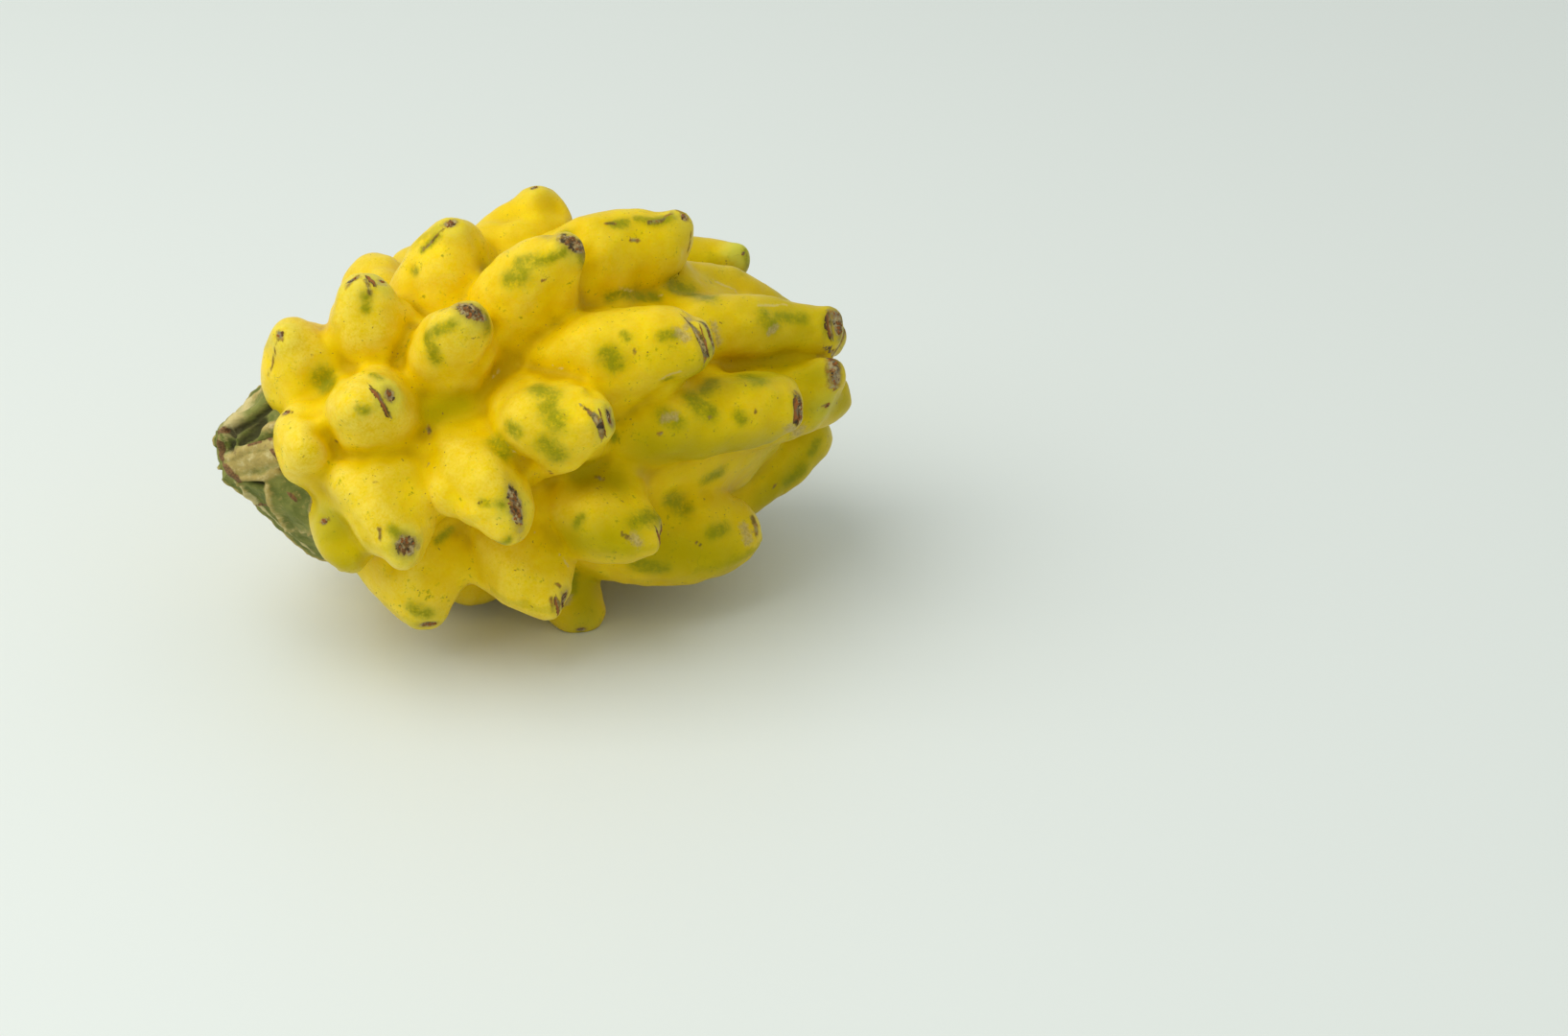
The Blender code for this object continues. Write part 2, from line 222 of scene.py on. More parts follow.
# %% Body
BODY_RADIUS = 22.5 * MM
BODY_STEM_END = -40.0 * MM
BODY_BLOSSOM_END = 40.5 * MM
TIP_RADIUS = 32.3 * MM
TIP_STEM_END = -46.8 * MM
TIP_BLOSSOM_END = 48.5 * MM
STEM_HALF_FULLNESS = 0.42
BLOSSOM_HALF_FULLNESS = 0.46
TIP_FULLNESS = 0.5
CRATER_EDGE = 35.5 * MM
CRATER_DEPTH = 1.5 * MM
CRATER_RADIUS = 9.0 * MM
BODY_SEGMENTS = 72
BODY_RINGS = 60
STUB_SIDES = 24
STUB_RADIUS = 2.6 * MM
STUB_LENGTH = 8.0 * MM
STUB_MIDDLE = 34.0 * MM


def egg_radius(station, radius, stem_end, blossom_end, fullness):
    """The radius of an egg that runs from stem_end to blossom_end."""
    share = (station - stem_end) / (blossom_end - stem_end)
    share = min(max(share, 0.0), 1.0)
    return radius * (4 * share * (1 - share)) ** fullness


def body_radius(station):
    """The radius of the body under the tubercles."""
    fullness = STEM_HALF_FULLNESS if station < 0 else BLOSSOM_HALF_FULLNESS
    return egg_radius(station, BODY_RADIUS, BODY_STEM_END, BODY_BLOSSOM_END, fullness)


def tip_radius(station):
    """The radius of the egg that the tubercles' tips lie on."""
    return egg_radius(station, TIP_RADIUS, TIP_STEM_END, TIP_BLOSSOM_END, TIP_FULLNESS)


def make_body():
    """The body, with the crater and the stub at its blossom end."""
    bpy.ops.object.select_all(action="DESELECT")
    bpy.ops.mesh.primitive_uv_sphere_add(
        segments=BODY_SEGMENTS, ring_count=BODY_RINGS, radius=1, rotation=(0, math.pi / 2, 0),
    )
    bpy.ops.object.transform_apply(location=False, rotation=True, scale=False)
    body = bpy.context.object
    body.name = "fruit_skin"
    for vertex in body.data.vertices:
        share = (vertex.co.x + 1) / 2
        station = mix(BODY_STEM_END, BODY_BLOSSOM_END, share)
        across = Vector((0, vertex.co.y, vertex.co.z))
        if across.length > 0:
            across *= body_radius(station) / across.length
        if station > CRATER_EDGE:
            hollow = 1 - min(across.length / CRATER_RADIUS, 1)
            station = CRATER_EDGE - CRATER_DEPTH * hollow
        vertex.co = Vector((station, 0, 0)) + across
    bpy.ops.mesh.primitive_cylinder_add(
        vertices=STUB_SIDES, radius=STUB_RADIUS, depth=STUB_LENGTH,
        location=(STUB_MIDDLE, 0, 0), rotation=(0, math.pi / 2, 0),
    )
    stub = bpy.context.object
    bpy.ops.object.transform_apply()
    join_to(body, [stub])
    return body


skin = make_body()
tell(skin)

# %% [markdown]
# Tubercles grow by a rule. They stand in opposite pairs, and each pair is one rise further along the
# axis and one level turn further round it, which makes the spirals that the eye sees. The fruit in
# the photograph departs from the rule a little, so each tubercle that shows has its own change.

# %% Where the tubercles stand
FIRST_LEVEL = -9
LAST_LEVEL = 14
LEVEL_0_STATION = -16.1 * MM
LEVEL_0_TURN = 53.1
LEVEL_RISE = 3.165 * MM
LEVEL_TURN = 49.0
CROWDED_BEFORE = -33.0 * MM
CROWDED_RISE = 0.5
# A tubercle without a change of its own departs from the rule by up to these amounts.
SEED = 7
LOOSE_STATION = 1.0 * MM
LOOSE_TURN = 4.0
LOOSE_SIZE = 0.05
USUAL_SIZE = 1.1

# Along the fruit, in mm: reach is how far the tip lies beyond the foot, foot and top are half
# widths, and back is how far the foot is moved, towards the stem where it is negative. Finger is 0
# for a mound and 1 for a finger that lies along the body, and a high blunt rounds the tip off late.
Shape = namedtuple("Shape", "station reach foot_round foot_along top_round top_along back finger blunt")
SHAPES = [
    Shape(-38, -2.0, 6.4, 6.4, 3.4, 4.0, 0.0, 0.0, 4.5),
    Shape(-33, -1.0, 7.0, 7.0, 3.4, 4.0, -0.3, 0.0, 4.5),
    Shape(-28, 0.5, 7.4, 7.6, 3.2, 4.0, -0.6, 0.0, 4.5),
    Shape(-15, 1.8, 7.2, 8.0, 3.2, 4.2, -1.2, 0.0, 4.5),
    Shape(-3, 5.0, 7.6, 9.4, 3.6, 4.2, -1.8, 0.0, 4.5),
    Shape(4, 6.5, 8.0, 10.6, 4.0, 4.2, -2.4, 0.0, 4.5),
    Shape(8, 10.0, 8.0, 11.2, 4.6, 4.4, -3.0, 0.3, 4.5),
    Shape(12, 12.5, 7.6, 10.8, 4.6, 4.2, -3.4, 0.6, 5.0),
    Shape(17, 16.0, 7.0, 10.2, 4.6, 4.2, -4.0, 0.9, 6.0),
    Shape(21, 22.5, 6.6, 9.6, 4.4, 4.2, -4.0, 1.0, 7.0),
    Shape(27, 19.0, 5.4, 6.5, 4.1, 3.8, -2.8, 1.0, 7.0),
    Shape(32, 14.0, 4.8, 4.8, 3.9, 3.6, -2.0, 1.0, 7.0),
]

# By (level, side): station, turn, reach, size, lift of the tip off its egg, and sweep of the foot.
Change = namedtuple("Change", "station turn reach size lift sweep", defaults=[0.0])
CHANGES = {
    (-9, "a"): Change(5.4, 6, 1.0, 0.98, -0.7),
    (-8, "a"): Change(0.8, 10, 0.0, 1.04, 0.0),
    (-7, "a"): Change(1.4, 13, 0.4, 1.24, -0.8),
    (-6, "a"): Change(3.5, 12, 1.0, 0.85, -6.5),
    (-6, "b"): Change(2.5, 0, 1.0, 0.9, -7.5),
    (-5, "a"): Change(0.5, 0, 0.0, 0.95, -4.5),
    (-5, "b"): Change(2.6, 2, 1.8, 1.36, 0.8, 13),
    (-4, "b"): Change(-0.5, 2, -0.5, 1.15, -0.2),
    (-3, "a"): Change(4.8, -6, 0.0, 0.9, 0.0),
    (-3, "b"): Change(0.2, -8, -0.7, 1.05, -0.2),
    (-2, "a"): Change(0.7, -6, 0.0, 1.42, -2.8),
    (-2, "b"): Change(3.7, 8, 3.0, 1.15, -3.0),
    (-1, "a"): Change(2.2, -8, 1.8, 1.05, 1.0, 13),
    (0, "a"): Change(-0.5, 1, 0.0, 0.95, 0.3),
    (1, "a"): Change(1.4, -7, 1.0, 1.2, -3.8),
    (1, "b"): Change(0.0, 0, 1.0, 0.95, -3.0),
    (2, "b"): Change(0.0, -3, -0.5, 1.08, 0.0),
    (3, "b"): Change(0.6, 1, 1.3, 1.14, 0.0),
    (4, "b"): Change(0.0, -1, -0.5, 1.0, 0.0),
    (5, "a"): Change(-1.0, 0, -1.2, 0.76, 0.0),
    (5, "b"): Change(1.2, -8, 1.4, 1.0, -3.6),
    (6, "a"): Change(-1.5, -2, -1.0, 1.0, -1.0),
    (7, "a"): Change(0.5, 2, 1.8, 1.1, 0.3),
    (8, "a"): Change(-2.5, -4, 6.4, 1.0, -3.2),
    (8, "b"): Change(0.0, -9, -2.0, 0.88, 0.0),
    (9, "a"): Change(4.0, 0, 6.0, 0.7, -1.5),
    (10, "b"): Change(0.0, 10, 0.0, 1.05, 1.5),
    (11, "b"): Change(2.5, -14, -0.6, 0.9, -0.3, 13),
    (12, "b"): Change(1.0, -12, -1.0, 0.65, -9.5),
    (13, "a"): Change(1.0, 29, -2.5, 0.85, 0.0),
    (13, "b"): Change(0.0, 0, -1.0, 0.8, -8.0),
    (14, "a"): Change(0.0, -5, -5.3, 0.95, 0.5),
}
MISSING = {(-9, "b"), (-8, "b"), (-7, "b")}
RESTING = {(-3, "a"), (5, "a"), (8, "b")}
TIP_ABOVE = 0.2 * MM
CLEARANCE = 6.0 * MM


def level_station(level):
    """The station of a level. The levels next to the stem crowd together."""
    station = LEVEL_0_STATION + LEVEL_RISE * level
    if station < CROWDED_BEFORE:
        station = CROWDED_BEFORE + (station - CROWDED_BEFORE) * CROWDED_RISE
    return station


def shape_at(station):
    """The shape of a tubercle whose foot is at a station, read between the rows of SHAPES."""
    place = min(max(station / MM, SHAPES[0].station), SHAPES[-1].station)
    for low, high in zip(SHAPES, SHAPES[1:]):
        if place <= high.station:
            share = (place - low.station) / (high.station - low.station)
            return Shape(*(mix(a, b, share) for a, b in zip(low, high)))
    return SHAPES[-1]


def tubercles():
    """Yields the level, side and change of every tubercle."""
    chance = random.Random(SEED)
    for level in range(FIRST_LEVEL, LAST_LEVEL + 1):
        for side in "ab":
            loose = Change(
                chance.uniform(-1, 1) * LOOSE_STATION / MM,
                chance.uniform(-1, 1) * LOOSE_TURN,
                chance.uniform(-1, 1),
                USUAL_SIZE + chance.uniform(-1, 1) * LOOSE_SIZE,
                chance.uniform(-1, 0),
            )
            if (level, side) not in MISSING:
                yield level, side, CHANGES.get((level, side), loose)


print(len(list(tubercles())), "tubercles")

# %% [markdown]
# A tubercle on the real fruit is a mound near the stem and a blunt finger near the blossom end. Both
# are the same thing at different slants, so one straight column of rings is modelled once, by
# extruding a circle. Each copy of it is then bent along its own curved spine, with its own widths.

# %% One column of rings
COLUMN_SIDES = 30
COLUMN_RINGS = 24
LAST_RING = 0.985


def make_column(sides, rings):
    """An upright column, of radius 1 and height 1, that stands at the origin."""
    bpy.ops.object.select_all(action="DESELECT")
    bpy.ops.mesh.primitive_circle_add(vertices=sides, radius=1, fill_type="NGON")
    made = bpy.context.object
    with editing(made):
        for _ in range(rings):
            bpy.ops.mesh.extrude_region_move(TRANSFORM_OT_translate={"value": (0, 0, 1 / rings)})
        bpy.ops.mesh.select_all(action="SELECT")
        bpy.ops.mesh.normals_make_consistent(inside=False)
    return made


column = make_column(COLUMN_SIDES, COLUMN_RINGS)
tell(column)

# %% [markdown]
# The spine starts at a root inside the body, leaves the body straight out, passes a knee and bends
# to the tip. The rings stand across it. They are not quite round: a keel runs up the stem side, the
# flanks are a little flat, and no two tubercles have the same lumps.

# %% Bend a copy for each tubercle
ROOT_DEPTH = 8.0 * MM
FINGER_ROOT_BACK = 0.25
FINGER_TIP_INSET = 0.8
SLOPE_STEP = 0.5 * MM
KNEE_HEIGHT = (0.6, 0.05)
KNEE_REACH = (0.1, 0.35)
STEEPEST_SLOPE = 1.2
RINGS_CROWD_TO_TIP = 1.7
END_ROUNDS_AFTER = 1.9
MOUND_FOOT_WIDTH = 1.14
MOUND_TOP_WIDTH = 0.82
SQUARENESS = 2.3
KEEL = 0.08
KEEL_SHARPNESS = 12
LUMPS = 0.08
LUMP_SCALE = 1.6
# Each tubercle reads its lumps from a place of its own in the noise, by its level and its side.
LUMP_LEVEL_STEP = 3.7
LUMP_SIDES = {"a": 5.0, "b": 9.0}
LUMP_PLACE = 1.0


def outward_at(turn):
    """The direction from the axis to a turn. Turn 0 faces the viewer and 90 faces up."""
    return Vector((0, -math.cos(math.radians(turn)), math.sin(math.radians(turn))))


def around_at(turn):
    """The direction round the axis at a turn."""
    return Vector((0, math.sin(math.radians(turn)), math.cos(math.radians(turn))))


def body_normal(station, turn):
    """The direction straight out of the body's surface."""
    rise = body_radius(station + SLOPE_STEP) - body_radius(station - SLOPE_STEP)
    slope = rise / (2 * SLOPE_STEP)
    slope = min(max(slope, -STEEPEST_SLOPE), STEEPEST_SLOPE)
    return (outward_at(turn) - Vector((slope, 0, 0))).normalized()


def tip_of(level, side, tip_station, turn, lift, inset):
    """The tip of a tubercle. One that points down ends a little above the table, or well above it."""
    reach_out = tip_radius(tip_station) + lift - inset
    fall = -math.sin(math.radians(turn))
    if (level, side) in RESTING:
        reach_out = (AXIS_HEIGHT - TIP_ABOVE) / fall - inset
    elif fall > 0:
        reach_out = min(reach_out, (AXIS_HEIGHT - CLEARANCE) / fall)
    return Vector((tip_station, 0, 0)) + outward_at(turn) * reach_out


def ring_swell(angle, share, place):
    """How far a ring's point lies from the spine, as a share of the ring's own width."""
    x, y = math.cos(angle), math.sin(angle)
    square = (abs(x) ** SQUARENESS + abs(y) ** SQUARENESS) ** (-1 / SQUARENESS)
    keel = KEEL * max(0.0, y) ** KEEL_SHARPNESS * share
    lumps = LUMPS * noise.noise(Vector((x, y, share * LUMP_SCALE)) + place)
    return square + keel + lumps


def bend_column(level, side, change):
    """A copy of the column, bent and widened to one tubercle."""
    station = level_station(level) + change.station * MM
    turn = LEVEL_0_TURN + LEVEL_TURN * level + (0 if side == "a" else 180) + change.turn
    shape = shape_at(station)
    reach = (shape.reach + change.reach) * MM
    size = change.size * MM

    foot_station = station + shape.back * MM
    normal = body_normal(station, turn + change.sweep)
    foot = outward_at(turn + change.sweep) * body_radius(foot_station)
    foot.x = foot_station
    root = foot - normal * ROOT_DEPTH - Vector((reach * FINGER_ROOT_BACK * shape.finger, 0, 0))
    inset = shape.finger * FINGER_TIP_INSET * shape.top_along * size
    tip = tip_of(level, side, station + reach, turn, change.lift * MM, inset)
    height = tip_radius(station) + change.lift * MM - body_radius(station)
    knee = foot + normal * mix(*KNEE_HEIGHT, shape.finger) * height
    knee += Vector((reach * mix(*KNEE_REACH, shape.finger), 0, 0))

    place = Vector((level * LUMP_LEVEL_STEP, LUMP_SIDES[side], LUMP_PLACE))
    across = around_at(turn)
    wide = mix(MOUND_FOOT_WIDTH, 1, shape.finger)
    narrow = mix(MOUND_TOP_WIDTH, 1, shape.finger)
    bent = copy_of(column)
    for vertex in bent.data.vertices:
        share = 1 - (1 - min(vertex.co.z, LAST_RING)) ** RINGS_CROWD_TO_TIP
        low = root.lerp(knee, share)
        high = knee.lerp(tip, share)
        upward = (high - low).normalized().cross(across).normalized()
        rounding = (1 - share ** (END_ROUNDS_AFTER * shape.blunt)) ** (1 / shape.blunt)
        swell = size * rounding * ring_swell(math.atan2(vertex.co.y, vertex.co.x), share, place)
        width = mix(shape.foot_round * wide, shape.top_round * narrow, share) * swell
        length = mix(shape.foot_along * wide, shape.top_along * narrow, share) * swell
        flat = Vector((vertex.co.x, vertex.co.y, 0))
        flat = flat.normalized() if flat.length > 0 else flat
        vertex.co = low.lerp(high, share) + across * flat.x * width + upward * flat.y * length
    return bent, tip


tips = {}
bent_columns = []
for level, side, change in tubercles():
    bent, tip = bend_column(level, side, change)
    bent_columns.append(bent)
    tips[(level, side)] = tip + MOVE
bpy.data.objects.remove(column)
join_to(skin, bent_columns)
tell(skin)

# %% [markdown]
# The body and the tubercles still pass through each other. A voxel remesh lays one new skin over all
# of them, and a little smoothing takes the edge off the joints. Then the fruit is moved over the origin.

# %% One skin over all
SKIN_VOXEL = 0.56 * MM
SKIN_SOFTENING = 5
SMOOTH_FACTOR = 0.5

remesh = skin.modifiers.new("one_skin", "REMESH")
remesh.mode = "VOXEL"
remesh.voxel_size = SKIN_VOXEL
soften = skin.modifiers.new("soft_valleys", "SMOOTH")
soften.factor = SMOOTH_FACTOR
soften.iterations = SKIN_SOFTENING
apply_all(skin)

with editing(skin):
    bpy.ops.transform.translate(value=MOVE)
tell(skin)

# %% [markdown]
# Between the mounds of the stem half the real skin sweeps through in wide soft hollows, while the
# fingers round the blossom end meet in tight creases. So the hollows are found first, as the places
# that lie deeper than a much smoother copy of the fruit, and only they are smoothed further.

# %% Widen the hollows
SMOOTHER_ROUNDS = 90
HOLLOW_ROUNDS = 36
HOLLOW_RELIEF = (-0.1, 0.3)
LEAST_WEIGHT = 0.01
CREASES_FROM = 4 * MM
CREASES_TO = 24 * MM
CREASE_SHARE = 0.25


def vectors_of(made, name):
    """A vector of every point of the mesh, as rows of numbers."""
    vectors = np.empty(len(made.data.vertices) * 3)
    made.data.vertices.foreach_get(name, vectors)
    return vectors.reshape(-1, 3)


def points_of(made):
    return vectors_of(made, "co")


def normals_of(made):
    return vectors_of(made, "normal")


def move_points(made, points):
    """Moves every point of the mesh to its row of numbers."""
    made.data.vertices.foreach_set("co", np.ravel(points))
    made.data.update()


def smooth(made, rounds, weights=None):
    """Smooths an object, by a share for each point where weights are given."""
    modifier = made.modifiers.new("smooth", "SMOOTH")
    modifier.factor = SMOOTH_FACTOR
    modifier.iterations = rounds
    if weights is not None:
        group = made.vertex_groups.new(name="hollows")
        for index in np.nonzero(weights > LEAST_WEIGHT)[0].tolist():
            group.add([index], float(weights[index]), "REPLACE")
        modifier.vertex_group = group.name
    apply_all(made)


def relief_of(made):
    """How far each point stands out, in mm, from a much smoother copy."""
    copy = copy_of(made)
    smooth(copy, SMOOTHER_ROUNDS)
    relief = ((points_of(made) - points_of(copy)) * normals_of(made)).sum(axis=1) / MM
    bpy.data.objects.remove(copy)
    return relief


relief = relief_of(skin)
creases = mix(1, CREASE_SHARE, ease(points_of(skin)[:, 0], CREASES_FROM, CREASES_TO))
smooth(skin, HOLLOW_ROUNDS, ease(-relief, *HOLLOW_RELIEF) * creases)
print("relief in mm from", round(relief.min(), 2), "to", round(relief.max(), 2))

# %% [markdown]
# A rule gives the tubercles their places, but each real one has its own corner, belly and edge. So the
# ones that show are finished one by one, with three tools of a modeller in clay. A pull draws the skin at
# one pixel of the photograph to another pixel. A press pushes it out, or in where its height is
# negative. A crease is a line that is pressed in along the edge of a mound.

# %% Shape the tubercles one by one
# A pull: the pixels where it starts and ends, and its radius in mm.
PULLS = [
    ((566, 206), (557, 195), 4.0), ((580, 226), (594, 222), 8.0), ((534, 218), (532, 231), 8.0),
    ((512, 252), (508, 236), 8.0), ((470, 234), (467, 228), 4.0), ((492, 240), (497, 234), 5.0),
    ((283, 378), (293, 378), 8.0), ((296, 352), (290, 346), 3.5), ((322, 342), (322, 336), 4.0),
    ((356, 296), (366, 300), 7.0), ((372, 280), (380, 284), 6.0), ((494, 328), (500, 320), 5.0),
    ((594, 262), (606, 250), 6.0), ((620, 246), (618, 232), 8.0), ((712, 226), (716, 220), 4.0),
    ((702, 262), (713, 268), 7.0), ((770, 268), (778, 258), 3.5), ((862, 330), (868, 318), 5.0),
    ((872, 336), (880, 331), 3.5), ((866, 360), (872, 370), 4.5), ((872, 384), (876, 380), 3.5),
    ((872, 400), (872, 404), 3.5), ((404, 408), (408, 402), 4.0), ((346, 430), (339, 432), 6.0),
    ((416, 428), (426, 430), 6.0), ((390, 394), (390, 386), 5.0), ((428, 572), (424, 584), 6.0),
    ((532, 552), (530, 562), 6.0), ((604, 408), (610, 400), 6.0), ((596, 480), (602, 490), 6.0),
    ((626, 470), (630, 474), 5.0), ((732, 376), (736, 382), 5.0), ((738, 322), (738, 316), 5.0),
    ((584, 636), (580, 642), 5.0),
]
PULL_SHARPNESS = 1.5
AFTER_PULLS = 3
# A press: its pixel, its radius in mm and its height in mm.
PRESSES = [
    ((545, 425), 5.5, 1.5), ((500, 482), 5.0, 1.0), ((390, 505), 5.5, 0.8), ((472, 352), 4.5, 0.7),
    ((620, 355), 6.0, 1.0), ((620, 535), 5.5, 1.0), ((365, 425), 4.0, 0.7), ((552, 285), 5.0, 0.8),
    ((388, 345), 4.5, 0.6), ((455, 275), 4.5, 0.6), ((540, 600), 4.5, 0.7), ((715, 425), 5.0, 0.8),
    ((640, 262), 5.0, 0.7), ((425, 605), 4.5, 0.6), ((460, 520), 4.5, 1.2), ((350, 552), 6.0, -1.7),
    ((352, 505), 4.0, 0.8), ((712, 282), 5.0, 1.8), ((545, 240), 6.0, 0.8), ((585, 213), 4.0, -1.4),
    ((540, 222), 4.0, -0.7), ((520, 500), 4.0, 0.5),
]
PRESS_SOFTNESS = 0.7
AFTER_PRESSES = 2
# A crease: the pixels that it runs through.
CREASES = [
    [(540, 378), (524, 385), (512, 398), (504, 412), (504, 426), (510, 442), (522, 456), (536, 470),
     (552, 482)],
    [(556, 380), (580, 384), (602, 392), (622, 408)],
    [(456, 472), (459, 488), (467, 503), (474, 520), (478, 540), (480, 556)],
    [(352, 474), (378, 475), (402, 475), (424, 470)],
    [(340, 396), (337, 412), (337, 432), (342, 452), (350, 466)],
    [(352, 345), (353, 362), (359, 378), (368, 385)],
    [(304, 430), (320, 430), (334, 426)],
    [(432, 335), (424, 355), (418, 374)],
    [(516, 336), (516, 356), (508, 374), (498, 388)],
    [(616, 264), (622, 280), (630, 298)],
    [(426, 282), (431, 300), (438, 318)],
    [(498, 244), (505, 262), (510, 276)],
    [(644, 452), (640, 472), (628, 486), (608, 494)],
    [(700, 400), (682, 412), (662, 428), (650, 440)],
    [(690, 308), (712, 314), (730, 326)],
    [(742, 374), (770, 378), (800, 376), (832, 374), (862, 372)],
    [(576, 500), (572, 520), (574, 545), (584, 566)],
    [(486, 560), (492, 580), (497, 600)],
    [(334, 514), (348, 526), (362, 536), (372, 548), (381, 563), (397, 580), (412, 592)],
    [(604, 236), (580, 240), (560, 250)],
    [(720, 262), (727, 276), (728, 290)],
]
CREASE_HALF_WIDTH = 1.1
CREASE_DEPTH = 0.5
STROKE_SOFTNESS = 1.2
NO_LENGTH = 1e-12
# The flower's dried stub stands in a hollow. Each fades from full to nothing between two distances
# from the axis, in mm, and comes in between the two stations of BLOSSOM_END.
HOLLOW = (1.0, 9.0)
HOLLOW_DEPTH = 2.8
STUB_FOOT = (2.2, 3.6)
BLOSSOM_END = (26, 32)


def tree_of(made):
    """A search tree of an object's surface, for rays and nearest points."""
    return BVHTree.FromObject(made, bpy.context.evaluated_depsgraph_get())


def seen_at(pixel, tree):
    """Where the ray through a pixel of the photograph meets a surface, and the normal there."""
    place, normal, _, _ = tree.ray_cast(camera_place, ray_direction(pixel))
    return place, normal


def bell(distance, width):
    """1 at no distance, falling smoothly towards 0 beyond a width."""
    return np.exp(-((distance / width) ** 2))


def pulled(points, tree, pulls):
    """Points after every pull, each of which moves them in the picture's plane."""
    moved = points.copy()
    for start, end, radius in pulls:
        place, _ = seen_at(start, tree)
        depth = (place - camera_place).dot(forward)
        move = right * (end[0] - start[0]) + up * (start[1] - end[1])
        away = np.linalg.norm(points - np.array(place), axis=1) / (radius * MM)
        share = np.clip(1 - away, 0, 1) ** PULL_SHARPNESS
        moved += share[:, None] * np.array(move * depth / FOCAL_PIXELS)
    return moved


def pressed(points, tree, presses):
    """Heights in mm from every press."""
    heights = np.zeros(len(points))
    for pixel, radius, height in presses:
        place, _ = seen_at(pixel, tree)
        away = np.linalg.norm(points - np.array(place), axis=1) / MM
        heights += height * bell(away, radius * PRESS_SOFTNESS)
    return heights


def at_blossom_end(points, inner, outer):
    """1 on the end of the axis, fading to 0 between two distances from it in mm."""
    offsets = (points - np.array(MOVE)) / MM
    from_axis = np.hypot(offsets[:, 1], offsets[:, 2])
    return (1 - ease(from_axis, inner, outer)) * ease(offsets[:, 0], *BLOSSOM_END)


def paint(points, strokes):
    """For each point, 1 on the middle line of a stroke, fading out beyond the stroke's half width."""
    painted = np.zeros(len(points))
    for half_width, line in strokes:
        for start, end in zip(line, line[1:]):
            step = end - start
            share = ((points - start) @ step) / max(step @ step, NO_LENGTH)
            closest = start + np.clip(share, 0, 1)[:, None] * step
            distance = np.linalg.norm(points - closest, axis=1) / MM
            painted = np.maximum(painted, bell(distance, half_width * STROKE_SOFTNESS))
    return painted


def laid_on(tree, strokes):
    """The strokes with their pixels turned into places on a surface."""
    laid = []
    for half_width, *pixels in strokes:
        seen = [seen_at(pixel, tree)[0] for pixel in pixels]
        laid.append((half_width, [np.array(place) for place in seen if place]))
    return laid


move_points(skin, pulled(points_of(skin), tree_of(skin), PULLS))
smooth(skin, AFTER_PULLS)

skin_tree = tree_of(skin)
points = points_of(skin)
heights = pressed(points, skin_tree, PRESSES)
crease_strokes = laid_on(skin_tree, [(CREASE_HALF_WIDTH, *line) for line in CREASES])
heights -= CREASE_DEPTH * paint(points, crease_strokes)
points += normals_of(skin) * heights[:, None] * MM
hollow = at_blossom_end(points, *HOLLOW) * (1 - at_blossom_end(points, *STUB_FOOT))
points[:, 0] -= hollow * HOLLOW_DEPTH * MM
move_points(skin, points)
smooth(skin, AFTER_PRESSES)
print(len(PULLS), "pulls,", len(PRESSES), "presses and", len(CREASES), "creases")

# %% [markdown]
# Each tubercle carries an areole near its tip: a dry crust, with the thin scar of a scale on its stem
# side. Where the photograph shows one, its pixel gives a ray from the camera, and the areole sits
# where that ray meets the skin. The hidden ones sit at their tubercle's tip.

# %% Find the areoles
skin_tree = tree_of(skin)

